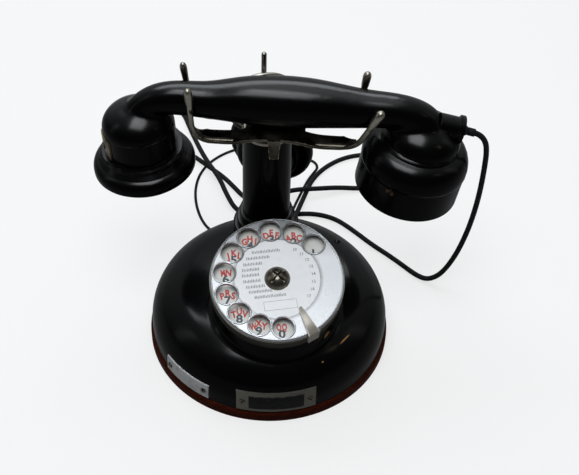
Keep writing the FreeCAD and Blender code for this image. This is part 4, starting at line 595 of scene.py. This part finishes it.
HOLE_CIRCLE = 35.0
FIRST_HOLE = 42.8
HOLE_PITCH = 25.56
PLATE_DEPTH = -5.96
PLATE_TURN = -1.2
LETTERS = ["", "ABC", "DEF", "GHI", "JKL", "MN", "PRS", "TUV", "WXY", "OQ"]
DIGITS = "1234567890"
LETTER_CIRCLE, LETTER_RISE, LETTER_HEIGHT = 34.0, 1.0, 4.5
LETTER_STEP, LETTER_ARCH, LETTER_FAN = 3.6, 2.1, 10
DIGIT_CIRCLE, DIGIT_RISE, DIGIT_HEIGHT = 34.2, -3.0, 5.3
letter_marks = []
digit_marks = []
for index, letters in enumerate(LETTERS):
    angle = math.radians(FIRST_HOLE + HOLE_PITCH * index + PLATE_TURN)
    across, along = math.cos(angle), math.sin(angle)
    digit_marks.append((
        DIGITS[index], DIGIT_CIRCLE * across, DIGIT_CIRCLE * along + DIGIT_RISE, DIGIT_HEIGHT, 0))
    for place, letter in enumerate(letters):
        offset = place - (len(letters) - 1) / 2
        letter_marks.append((
            letter, LETTER_CIRCLE * across + offset * LETTER_STEP,
            LETTER_CIRCLE * along + LETTER_RISE + LETTER_ARCH / 2 - offset * offset * LETTER_ARCH,
            LETTER_HEIGHT, -offset * LETTER_FAN))
red_paint = sign_paint("red_paint", (0.6, 0.03, 0.025), (0.62, 0.12, 0.1))
dark_paint = sign_paint("dark_paint", (0.035, 0.048, 0.07), (0.13, 0.14, 0.165))
dial_letters = set_type(
    "dial_letters", letter_marks, PLATE_DEPTH, width=0.84, swell=0.29, finish=red_paint)
dial_digits = set_type(
    "dial_digits", digit_marks, PLATE_DEPTH, width=1.18, swell=0.24, finish=dark_paint)
for piece in (dial_letters, dial_digits):
    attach(piece, "base")

# The finger wheel: polished nickel sheet with ten holes, each with a rolled bead round it, and a
# bead at the rim. Fine rings from the polishing lathe run round it. Its upper side is painted
# darker grey as a painted reflection, and a dark ring round the card is painted shadow.
polished_wheel, tree, shader = new_finish("polished_wheel")
REFLECTION_LOW, REFLECTION_HIGH = 14 * MM, 40 * MM
CARD_SHADOW_WIDTH = 2.6 * MM
space = add_node(tree, "ShaderNodeTexCoord")
from_centre = add_node(tree, "ShaderNodeVectorMath", {"operation": "DISTANCE"})
from_centre.inputs[1].default_value = dial_centre
rings = add_node(tree, "ShaderNodeTexNoise", {"noise_dimensions": "1D"}, Scale=1400.0, Detail=3.0)
marks = place_group(tree, handling, scale=34.0, smooth=0.2, dull=0.34, ripple=700.0)
silver = patchy(tree, marks, (0.54, 0.555, 0.575), (0.45, 0.465, 0.48), low=0.4, high=0.7)
up_the_wheel = add_node(tree, "ShaderNodeVectorMath", {"operation": "DOT_PRODUCT"})
up_the_wheel.inputs[1].default_value = dial_up
# Painted reflection: the wheel's upper side is mixed towards dark grey, and it turns with the
# wheel.
painted_reflection_mask = add_node(
    tree, "ShaderNodeMapRange", From_Min=dial_centre.dot(dial_up) + REFLECTION_LOW,
    From_Max=dial_centre.dot(dial_up) + REFLECTION_HIGH)
greyed = mixed_colour(tree, painted_reflection_mask.outputs["Result"], silver, (0.19, 0.195, 0.205))
card_corners = [Vector(corner.co) for corner in frame["nodes"]["dial_card"].data.vertices]
card_edge = max((corner - dial_centre).length for corner in card_corners)
# Painted shadow: a dark ring on the wheel just outside the card's edge.
card_shadow_mask = add_node(
    tree, "ShaderNodeMapRange", From_Min=card_edge + CARD_SHADOW_WIDTH, From_Max=card_edge, To_Max=0.75)
wheel_with_painted_shadow = mixed_colour(tree, card_shadow_mask.outputs["Result"], greyed, (0.17, 0.17, 0.175))
wire(
    tree, (space, "Object", from_centre, 0), (from_centre, "Value", rings, "W"),
    (space, "Object", up_the_wheel, 0), (up_the_wheel, "Value", painted_reflection_mask, "Value"),
    (from_centre, "Value", card_shadow_mask, "Value"))
surface(
    tree, shader, wheel_with_painted_shadow, marks, strength=0.04, distance=0.0001, height=rings.outputs["Fac"],
    Metallic=1.0)
dress(["finger_wheel"], polished_wheel)

BEAD_TURNS = 48
BEAD_SIDES = 10


def rolled_bead(sheet, right, up, radius, half_thick, height):
    """A round bead on the wheel, as one ring of quads."""
    loops = []
    for turn in range(BEAD_TURNS):
        around = 2 * math.pi * turn / BEAD_TURNS
        loop = []
        for side in range(BEAD_SIDES):
            roll = 2 * math.pi * side / BEAD_SIDES
            reach = radius + half_thick * math.cos(roll)
            loop.append(sheet.verts.new(Vector((
                right + reach * math.cos(around), up + reach * math.sin(around),
                height + half_thick * math.sin(roll))) * MM))
        loops.append(loop)
    for turn in range(BEAD_TURNS):
        first, second = loops[turn - 1], loops[turn]
        for side in range(BEAD_SIDES):
            corners = (first[side - 1], second[side - 1], second[side], first[side])
            sheet.faces.new(corners).smooth = True


HOLE_BEAD = (7.5, 0.62, 0.05)
RIM_BEAD = (43.2, 0.5, 0.0)
beads = bmesh.new()
for index in range(len(DIGITS)):
    angle = math.radians(FIRST_HOLE + HOLE_PITCH * index)
    rolled_bead(beads, HOLE_CIRCLE * math.cos(angle), HOLE_CIRCLE * math.sin(angle), *HOLE_BEAD)
rolled_bead(beads, 0, 0, *RIM_BEAD)
bmesh.ops.transform(beads, matrix=dial_axes, verts=beads.verts)
wheel_beads = new_piece("wheel_beads", beads, polished_wheel)
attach(wheel_beads, "dial")

# The dial card: a disc of white paper, held on the wheel by the middle screw. It is printed with
# rows of plain strokes, plain numbers down its right side and one empty box.
white_card, tree, shader = new_finish("white_card")
marks = place_group(tree, handling, scale=70.0, smooth=0.25, dull=0.4, ripple=1800.0)
paper = patchy(tree, marks, (0.92, 0.93, 0.95), (0.83, 0.84, 0.86), low=0.45, high=0.8)
surface(tree, shader, paper, marks, strength=0.03, distance=0.0001)
dress(["dial_card"], white_card)
grey_ink = sign_paint("grey_ink", (0.14, 0.145, 0.16), (0.4, 0.41, 0.43))
CARD_DEPTH = -0.17
CARD_SLOPE = 4.0
CARD_NUMBERS = ["10", "11", "12", "13", "14", "15", "16", "17"]
NUMBER_ARC, NUMBER_START, NUMBER_PITCH, NUMBER_HEIGHT = 24.0, 58.0, 13.2, 2.0
number_marks = []
for index, label in enumerate(CARD_NUMBERS):
    angle = math.radians(NUMBER_START - NUMBER_PITCH * index)
    number_marks.append((
        label, NUMBER_ARC * math.cos(angle), NUMBER_ARC * math.sin(angle), NUMBER_HEIGHT,
        CARD_SLOPE))
card_numbers = set_type(
    "card_numbers", number_marks, CARD_DEPTH, width=1.0, swell=0.05, finish=grey_ink)

ROWS = [
    (-15.5, 18.3, 19.5), (-19.4, 13.9, 16.5), (-21.6, 9.6, 13.5), (-22.6, 5.6, 12.0),
    (-22.8, 1.6, 12.0), (-22.2, -2.6, 12.5), (-20.6, -6.6, 13.5), (-19.0, -10.2, 16.5),
    (-15.4, -14.0, 21.0)]
STROKE_STEP, STROKE_WIDTH = 1.05, 0.5
STROKE_HEIGHTS = (2.1, 2.1, 1.5, 2.1, 1.7)
BOX_LEFT, BOX_UP, BOX_LENGTH, BOX_HEIGHT, BOX_LINE = -9.6, -22.8, 21.6, 6.2, 0.22
slope = math.radians(CARD_SLOPE)
bars = []
for left, up, length in ROWS:
    for place in range(int(length / STROKE_STEP)):
        reach = place * STROKE_STEP
        bars.append((
            left + reach * math.cos(slope), up + reach * math.sin(slope), STROKE_WIDTH,
            STROKE_HEIGHTS[place % len(STROKE_HEIGHTS)]))
for rise in (0.0, BOX_HEIGHT):
    bars.append((BOX_LEFT - rise * math.sin(slope), BOX_UP + rise, BOX_LENGTH, BOX_LINE))
for reach in (0.0, BOX_LENGTH - BOX_LINE):
    bars.append((
        BOX_LEFT + reach * math.cos(slope), BOX_UP + reach * math.sin(slope), BOX_LINE, BOX_HEIGHT))
along = Vector((math.cos(slope), math.sin(slope), 0))
across = Vector((-math.sin(slope), math.cos(slope), 0))
print_sheet = bmesh.new()
for left, up, length, height in bars:
    start = Vector((left, up, CARD_DEPTH))
    end = start + along * length
    corners = [start, end, end + across * height, start + across * height]
    print_sheet.faces.new([print_sheet.verts.new(corner * MM) for corner in corners])
bmesh.ops.transform(print_sheet, matrix=dial_axes, verts=print_sheet.verts)
card_lines = new_piece("card_lines", print_sheet, grey_ink)
for piece in (card_numbers, card_lines):
    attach(piece, "dial")


# The middle screw: a domed bronze head with a crossed slot, which holds the wheel and the card on
# the spindle. It has browned with age, and painted shade darkens its slots.
def screw_bronze(name, bright, dark):
    """Bronze that has browned with age, with painted shade in its slots and recesses."""
    finish, tree, shader = new_finish(name)
    marks = place_group(tree, handling, scale=260.0, smooth=0.22, dull=0.42, ripple=900.0)
    bronze = patchy(tree, marks, bright, dark, low=0.4, high=0.66)
    # Painted shade: near-black mixed in where ambient occlusion finds slots and recesses.
    hidden = add_node(tree, "ShaderNodeAmbientOcclusion", {"samples": 8}, Distance=0.0016)
    slot_shade_mask = add_node(tree, "ShaderNodeMapRange", From_Min=0.9, From_Max=0.55)
    wire(tree, (hidden, "AO", slot_shade_mask, "Value"))
    bronze_with_painted_shade = mixed_colour(tree, slot_shade_mask.outputs["Result"], bronze, (0.006, 0.005, 0.004))
    surface(tree, shader, bronze_with_painted_shade, marks, strength=0.05, distance=0.0002, Metallic=1.0)
    return finish


dull_bronze = screw_bronze("dull_bronze", (0.2, 0.18, 0.145), (0.09, 0.08, 0.064))
brown_bronze = screw_bronze("brown_bronze", (0.07, 0.05, 0.032), (0.03, 0.021, 0.013))
dress(["centre_screw"], dull_bronze)

# The handset and the second earpiece: cases and caps of polished black moulding, screwed together.
# They are faintly brown where they are rubbed, with dull patches from handling.
black_moulding, tree, shader = new_finish("black_moulding")
specks = place_group(tree, dust, scale=1700.0, amount=0.4)
dusty = mixed_colour(
    tree, specks.outputs["Mask"], (0.0015, 0.0015, 0.0018), (0.045, 0.043, 0.042))
browned = edge_worn(tree, dusty, (0.085, 0.075, 0.068), reach=0.0011, breaks=150.0, amount=0.9)
marks = place_group(tree, handling, scale=30.0, smooth=0.13, dull=0.3, ripple=460.0)
surface(
    tree, shader, browned, marks, strength=0.03, distance=0.0004, Coat_Roughness=0.22,
    Specular_IOR_Level=0.06)
gloss = place_group(tree, glossed, amount=0.8)
wire(tree, (gloss, "Mask", shader, "Coat Weight"))
dress([
    "handle", "receiver_case", "receiver_cap", "transmitter_bell", "transmitter_cap", "cord_boss",
    "earpiece_case", "earpiece_cap"], black_moulding)

# The handle: one moulding that left its mould in one sweep with both heads, so the arm runs into
# each head in a soft hollow. The CAD handle is recast in fine voxels and eased at the two hollows.
HOLLOWS = [((-76, 50, 166), 36), ((92, 28, 166), 40)]
HOLLOW_FLOOR, HOLLOW_FADE, HOLLOW_GAIN = 150.0, 7.0, 2.5
RECAST_VOXEL = 1.0 * MM
EASING_ROUNDS, EASING_FACTOR = 60, 0.6
rough = bpy.data.objects.new("handle_rough", frame["nodes"]["handle"].data.copy())
scene.collection.objects.link(rough)
recast = rough.modifiers.new("recast", "REMESH")
recast.mode = "VOXEL"
recast.voxel_size = RECAST_VOXEL
recast.use_smooth_shade = True
made = rough.evaluated_get(bpy.context.evaluated_depsgraph_get())
recast_mesh = bpy.data.meshes.new_from_object(made)
bpy.data.objects.remove(rough)
blank = bpy.data.objects.new("handle_blank", recast_mesh)
scene.collection.objects.link(blank)
eased = blank.vertex_groups.new(name="eased")
for vert in recast_mesh.vertices:
    above = min(max((vert.co.z / MM - HOLLOW_FLOOR) / HOLLOW_FADE, 0), 1)
    near = max(1 - (vert.co / MM - Vector(middle)).length / reach for middle, reach in HOLLOWS)
    eased.add([vert.index], min(max(near * HOLLOW_GAIN, 0), 1) * above, "REPLACE")
easing = blank.modifiers.new("easing", "SMOOTH")
easing.factor = EASING_FACTOR
easing.iterations = EASING_ROUNDS
easing.vertex_group = "eased"
made = blank.evaluated_get(bpy.context.evaluated_depsgraph_get())
sweep_mesh = bpy.data.meshes.new_from_object(made)
bpy.data.objects.remove(blank)
sweep_mesh.materials.clear()
sweep_mesh.materials.append(black_moulding)
handle_sweep = bpy.data.objects.new("handle_sweep", sweep_mesh)
scene.collection.objects.link(handle_sweep)
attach(handle_sweep, "handset")
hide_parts("handle")

# The transmitter's bell: a turned ring of the same moulding, with a full rolled shoulder from the
# neck out over the cap that is screwed into it.
BELL_FOOT = (95.45, 29.43, 118.11)
BELL_AXIS = (0.1465, -0.0193, 0.989)
BELL_PROFILE = [
    (10.0, 20.0), (10.0, 35.7), (11.5, 35.95), (14.5, 35.9), (18.0, 35.3), (21.2, 34.1),
    (23.7, 32.5), (25.6, 30.6), (26.9, 28.6), (27.6, 26.8), (27.9, 26.3), (30.0, 26.0),
    (30.0, 15.0)]
bell = bmesh.new()
turned(bell, BELL_FOOT, BELL_AXIS, BELL_PROFILE)
bell_shoulder = new_piece("bell_shoulder", bell, black_moulding)
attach(bell_shoulder, "handset")
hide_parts("transmitter_bell")

# Brass: the small bare plate that is screwed to the receiver, the works of the dial, and the
# terminals and contact springs in the base. It was cut from sheet and bar and has gone brown in
# patches.
aged_brass, tree, shader = new_finish("aged_brass")
marks = place_group(tree, handling, scale=150.0, smooth=0.25, dull=0.5, ripple=900.0)
patina = patchy(tree, marks, (0.15, 0.118, 0.062), (0.055, 0.042, 0.024), low=0.42, high=0.66)
surface(tree, shader, patina, marks, strength=0.06, distance=0.0002, Metallic=1.0)
dress([
    "receiver_plate", "governor_pinion", "governor_weights", "dial_gear", "dial_bush",
    "dial_back_plate", "terminal_screws", "contact_springs"], aged_brass)

# Steel: the spindle, the plunger, the springs and the screws of the foot, and the magnets, capsule
# and can inside. Plain turned and pressed pieces, lightly oiled.
plain_steel, tree, shader = new_finish("plain_steel")
marks = place_group(tree, handling, scale=110.0, smooth=0.24, dull=0.46, ripple=800.0)
grey_steel = patchy(tree, marks, (0.46, 0.46, 0.47), (0.26, 0.255, 0.25), low=0.4, high=0.7)
surface(tree, shader, grey_steel, marks, strength=0.05, distance=0.0002, Metallic=1.0)
dress([
    "base_screws", "dial_spindle", "dial_spring", "plunger_rod", "plunger_spring", "switch_bracket",
    "coil_core", "condenser", "receiver_diaphragm", "receiver_magnet", "transmitter_capsule",
    "earpiece_diaphragm", "earpiece_magnet"], plain_steel)

# Fibre and rubber: the coil's bobbin and the terminal strip are brown fibre, fixed inside the
# shell. The glands in its skirt and the plunger's tip are black rubber, pushed into place.
brown_fibre, tree, shader = new_finish("brown_fibre")
marks = place_group(tree, handling, scale=200.0, smooth=0.5, dull=0.75, ripple=1400.0)
mottled = mixed_colour(tree, marks.outputs["Patches"], (0.11, 0.05, 0.025), (0.2, 0.11, 0.06))
surface(tree, shader, mottled, marks, strength=0.15, distance=0.0003)
dress(["induction_coil", "terminal_block"], brown_fibre)
black_rubber, tree, shader = new_finish("black_rubber")
marks = place_group(tree, handling, scale=240.0, smooth=0.55, dull=0.8, ripple=1200.0)
greyed = mixed_colour(tree, marks.outputs["Patches"], (0.006, 0.006, 0.006), (0.02, 0.02, 0.021))
surface(tree, shader, greyed, marks, strength=0.12, distance=0.0003)
dress(["cord_glands", "plunger_tip"], black_rubber)


# Slotted screws: turned bronze, domed and cut with a slot. They hold the two plates of the shell,
# the transmitter's cap and the receiver's plate. Each takes the place and axis of its CAD head.
def screw_places(node, count):
    """Centre and flat faces of each plain screw head of a node, in the order of its mesh."""
    welded = bmesh.new()
    welded.from_mesh(frame["nodes"][node].data)
    bmesh.ops.remove_doubles(welded, verts=welded.verts, dist=1e-6)
    found = set()
    places = []
    for seed in welded.verts:
        if seed in found:
            continue
        found.add(seed)
        island = [seed]
        for vert in island:
            for link in vert.link_edges:
                other = link.other_vert(vert)
                if other not in found:
                    found.add(other)
                    island.append(other)
        areas = {}
        for face in dict.fromkeys(face for vert in island for face in vert.link_faces):
            key = tuple(round(part, 2) for part in face.normal)
            areas[key] = areas.get(key, 0.0) + face.calc_area()
        flats = sorted(areas, key=areas.get)[-2:]
        centre = sum((vert.co for vert in island), Vector()) / len(island)
        places.append((centre, [Vector(flat).normalized() for flat in flats]))
    welded.free()
    assert len(places) == count, f"{node} has {len(places)} heads"
    return places


HEAD_ROUNDS, HEAD_STEPS = 28, 6
SLOT_WIDTH, SLOT_DEPTH, SLOT_LENGTH = 0.1, 0.5, 0.985
RIM_SHARE, CROWN_SHARE = 0.35, 0.65
DOME_SPAN, DOME_TOP = 0.86, 0.976
NEXT_SLOT = 67


def slotted_head(name, places, outward_from, diameter, height, slot_turn, finish):
    """Domed heads with a slot, as one piece, on the outer face of each plain head."""
    heads = bmesh.new()
    radius = diameter / 2
    slot_half = diameter * SLOT_WIDTH
    slot_floor = height / 2 - height * RIM_SHARE - height * SLOT_DEPTH
    slot_reach = math.sqrt(radius ** 2 - slot_half ** 2)
    start = math.asin(slot_half / radius)
    for index, (centre, flats) in enumerate(places):
        out = max(flats, key=lambda flat: flat.dot(centre - outward_from))
        side = out.orthogonal().normalized()
        facing = Matrix((side, out.cross(side), out)).transposed().to_4x4()
        slot_way = Matrix.Rotation(math.radians(slot_turn + NEXT_SLOT * index), 4, "Z")
        axes = Matrix.Translation(centre) @ facing @ slot_way
        head = bmesh.new()
        for half in (-1, 1):
            keep_slot = half * slot_half
            outline = [Vector((slot_reach * end, keep_slot, 0)) for end in (-1, 1)]
            for step in range(1, HEAD_ROUNDS):
                turn = start + (math.pi - 2 * start) * step / HEAD_ROUNDS
                outline.append(Vector((radius * math.cos(turn), half * radius * math.sin(turn), 0)))
            levels = []
            for level in range(HEAD_STEPS + 1):
                bend = level / HEAD_STEPS * math.pi / 2 * DOME_SPAN
                shrink = math.cos(bend)
                lift = -height / 2 + height * (RIM_SHARE + CROWN_SHARE * math.sin(bend) / DOME_TOP)
                levels.append([
                    head.verts.new(Vector((
                        point.x * shrink, keep_slot + (point.y - keep_slot) * shrink, lift)))
                    for point in outline])
            foot = [head.verts.new(Vector((point.x, point.y, -height / 2))) for point in outline]
            stack = [foot] + levels
            for lower, upper in zip(stack, stack[1:]):
                for corner in range(len(lower)):
                    head.faces.new((
                        lower[corner - 1], lower[corner], upper[corner], upper[corner - 1]))
            head.faces.new(stack[-1])
            head.faces.new(foot[::-1])
        floor = [
            Vector((radius * SLOT_LENGTH * end, half * slot_half, slot_floor))
            for end, half in ((-1, -1), (1, -1), (1, 1), (-1, 1))]
        head.faces.new([head.verts.new(corner) for corner in floor])
        bmesh.ops.recalc_face_normals(head, faces=head.faces)
        bmesh.ops.transform(head, matrix=axes, verts=head.verts)
        loose = bpy.data.meshes.new("loose_head")
        head.to_mesh(loose)
        head.free()
        heads.from_mesh(loose)
        bpy.data.meshes.remove(loose)
    return new_piece(name, heads, finish)


shell_middle = Vector((0, 0, 0.02))
plate_heads = slotted_head(
    "plate_screw_heads", screw_places("plate_screws", 4), shell_middle, diameter=4 * MM,
    height=1.0 * MM, slot_turn=20, finish=dull_bronze)
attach(plate_heads, "base")
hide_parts("plate_screws")
transmitter_middle = sum(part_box("transmitter_cap"), Vector()) / 2
cap_heads = slotted_head(
    "cap_screw_heads", screw_places("transmitter_screws", 3), transmitter_middle, diameter=6 * MM,
    height=0.9 * MM, slot_turn=12, finish=brown_bronze)
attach(cap_heads, "handset")
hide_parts("transmitter_screws")
receiver_middle = sum(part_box("receiver_case"), Vector()) / 2
ear_heads = slotted_head(
    "ear_screw_head", screw_places("receiver_plate_screw", 1), receiver_middle, diameter=4 * MM,
    height=0.9 * MM, slot_turn=30, finish=dull_bronze)
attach(ear_heads, "handset")
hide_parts("receiver_plate_screw")

# The cords: braided black cotton over stranded wire. The thick one runs from its gland over the
# table in two loose loops and up to the handset, the thin one from the second earpiece round
# behind and back to its gland.
braided_cotton, tree, shader = new_finish("braided_cotton")
BRAID_STRANDS = 9.0
BRAID_PITCH = 1.7
space = add_node(tree, "ShaderNodeTexCoord")
split = add_node(tree, "ShaderNodeSeparateXYZ")
wire(tree, (space, "UV", split, "Vector"))
waves = []
for direction in (-1, 1):
    around = add_node(tree, "ShaderNodeMath", {"operation": "MULTIPLY"})
    around.inputs[1].default_value = BRAID_STRANDS * 2 * math.pi * direction
    phase = add_node(tree, "ShaderNodeMath", {"operation": "MULTIPLY_ADD"})
    phase.inputs[1].default_value = 2 * math.pi * BRAID_PITCH
    wave = add_node(tree, "ShaderNodeMath", {"operation": "SINE"})
    wire(
        tree, (split, "X", around, 0), (split, "Y", phase, 0), (around, "Value", phase, 2),
        (phase, "Value", wave, 0))
    waves.append(wave)
weave = add_node(tree, "ShaderNodeMath", {"operation": "MAXIMUM"})
raised = add_node(tree, "ShaderNodeMapRange", From_Min=-0.6, From_Max=1.0)
wire(
    tree, (waves[0], "Value", weave, 0), (waves[1], "Value", weave, 1),
    (weave, "Value", raised, "Value"))
threads = mixed_colour(
    tree, raised.outputs["Result"], (0.0016, 0.0017, 0.002), (0.0085, 0.0088, 0.0102))
fuzz = place_group(tree, handling, scale=160.0, smooth=0.55, dull=0.8, ripple=2400.0)
faded = mixed_colour(tree, fuzz.outputs["Patches"], threads, (0.006, 0.0062, 0.007))
surface(
    tree, shader, faded, fuzz, strength=0.5, distance=0.0003, height=raised.outputs["Result"],
    Sheen_Weight=0.03, Sheen_Roughness=0.4, Specular_IOR_Level=0.2)

CORD_SIDES = 14


def cord_line(route):
    """The smooth line of a cord: a NURBS spline with the route's points as its control points."""
    curve = bpy.data.curves.new("cord_line", "CURVE")
    curve.dimensions = "3D"
    spline = curve.splines.new("NURBS")
    spline.points.add(len(route) - 1)
    for point, place in zip(spline.points, route):
        point.co = (place[0] * MM, place[1] * MM, place[2] * MM, 1)
    spline.order_u = 3
    spline.use_endpoint_u = True
    curve.resolution_u = 8
    holder = bpy.data.objects.new("cord_line", curve)
    line = bpy.data.meshes.new_from_object(holder)
    points = [vert.co.copy() for vert in line.vertices]
    bpy.data.meshes.remove(line)
    bpy.data.objects.remove(holder)
    bpy.data.curves.remove(curve)
    return points


def braided_cord(name, points, diameter):
    """A round tube along a line, with the braid's UVs counted in diameters along it."""
    tube = bmesh.new()
    uv_layer = tube.loops.layers.uv.new("UVMap")
    tangents = []
    for index in range(len(points)):
        before, after = points[max(index - 1, 0)], points[min(index + 1, len(points) - 1)]
        tangents.append((after - before).normalized())
    side = tangents[0].orthogonal().normalized()
    rings, lengths = [], [0.0]
    for index, (point, tangent) in enumerate(zip(points, tangents)):
        if index:
            lengths.append(lengths[-1] + (point - points[index - 1]).length)
            side = (side - tangent * side.dot(tangent)).normalized()
        across = tangent.cross(side)
        ring = []
        for corner in range(CORD_SIDES):
            turn = 2 * math.pi * corner / CORD_SIDES
            out = side * math.cos(turn) + across * math.sin(turn)
            ring.append(tube.verts.new(point + out * diameter / 2))
        rings.append(ring)
    for index in range(len(rings) - 1):
        near, far = rings[index], rings[index + 1]
        for corner in range(CORD_SIDES):
            following = (corner + 1) % CORD_SIDES
            face = tube.faces.new((near[corner], near[following], far[following], far[corner]))
            face.smooth = True
            steps = (
                (corner, index), (corner + 1, index), (corner + 1, index + 1), (corner, index + 1))
            for loop, (turn, along) in zip(face.loops, steps):
                loop[uv_layer].uv = (turn / CORD_SIDES, lengths[along] / diameter)
    tube.faces.new(rings[0][::-1])
    tube.faces.new(rings[-1])
    return new_piece(name, tube, braided_cotton), lengths[-1]


THICK_CORD = 3.8 * MM
THIN_CORD = 2.2 * MM
table_route = [
    (21.38, 82.68, 12), (23.14, 89.46, 12), (26, 98.5, 10), (29.5, 107.5, 7.4), (33, 118.5, 4.5),
    (37.5, 131, 2.2), (43, 145, 2), (51, 157, 2), (62, 167, 2), (76, 174.5, 2), (92, 177, 2),
    (108, 172, 2), (117, 160, 2), (114, 146, 2), (101, 138, 2), (83, 136, 2.2), (64, 136.5, 4),
    (47, 133, 6.8), (29, 133, 6.8), (13, 130, 4), (-1, 126.5, 2), (-11, 131, 2), (-18, 142, 3),
    (-26.5, 153, 5), (-39, 167, 5), (-51, 183, 3), (-69, 198, 2), (-92, 207, 2), (-107, 222, 2),
    (-106, 242, 2), (-91, 255, 2), (-71, 252, 2), (-57, 238, 2), (-53, 221, 3), (-48, 198, 6.5),
    (-40, 169, 9.8), (-30, 147.5, 9.8), (-25, 132, 6), (-18, 116, 2.4), (-4, 108, 2), (16, 108, 2),
    (38, 111, 2), (57, 105, 2), (70, 91.5, 2), (84, 73.5, 2), (97, 60, 2), (107.5, 47, 2),
]
drop_route = [
    (107.5, 47, 2), (112.75, 40.5, 2), (120, 34.8, 2.8), (127, 32.8, 8.2), (131.8, 32, 16.3),
    (136.3, 31.4, 28), (140.2, 30.3, 44), (143.3, 29.2, 64), (145, 28, 85), (145.4, 26.9, 105),
    (144.9, 25.8, 124.5), (144.1, 25, 137), (142.3, 24.4, 145.7), (139, 24.1, 151.4),
    (134.47, 24.3, 154.65), (129.06, 25.01, 155.91),
]
thin_route = [
    (0.9, 76.93, 64.69), (0.9, 76.93, 59.69), (-3, 79.5, 47), (-4.5, 84.5, 37), (-7.5, 89.5, 26),
    (-11.5, 93, 14.5), (-17, 94, 6), (-24.5, 92, 1.8), (-33, 92, 1.2), (-41, 99, 1.2),
    (-46.5, 112, 1.2), (-49.5, 129, 1.2), (-49, 147, 1.2), (-44.5, 163, 1.2), (-35, 177, 1.2),
    (-19, 188.5, 1.2), (2, 193.5, 1.2), (19, 189.5, 1.2), (30, 183.5, 1.2), (38, 178.5, 1.2),
    (44, 174, 1.2), (48.3, 171.2, 1.2), (50.6, 167, 1.2), (50.4, 162.4, 1.2), (47.2, 157.8, 1.2),
    (42, 150, 1.2), (37.7, 141, 1.2), (33.5, 131.5, 1.4), (29.3, 120.5, 3.4), (26.3, 111, 6.2),
    (22.3, 102.8, 8.8), (17.3, 96.3, 10.8), (11.96, 90.82, 12), (11.15, 84.67, 12),
]
table_line = cord_line(table_route)
drop_line = cord_line(drop_route)
thin_line = cord_line(thin_route)
table_cord, table_length = braided_cord("table_cord", table_line, THICK_CORD)
drop_cord, drop_length = braided_cord("drop_cord", drop_line, THICK_CORD)
thin_cord, thin_length = braided_cord("thin_cord", thin_line, THIN_CORD)
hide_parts("handset_cord")
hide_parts("handset_cord_drop")
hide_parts("earpiece_cord")
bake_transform(table_cord)
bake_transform(drop_cord)
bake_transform(thin_cord)
WHIPPING_POINTS = 5
WHIPPING_DIAMETER = 5.4 * MM
cord_whipping, _ = braided_cord("cord_whipping", drop_line[-WHIPPING_POINTS:], WHIPPING_DIAMETER)
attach(cord_whipping, "handset")
dress(["cord_grip", "earpiece_grip"], braided_cotton)
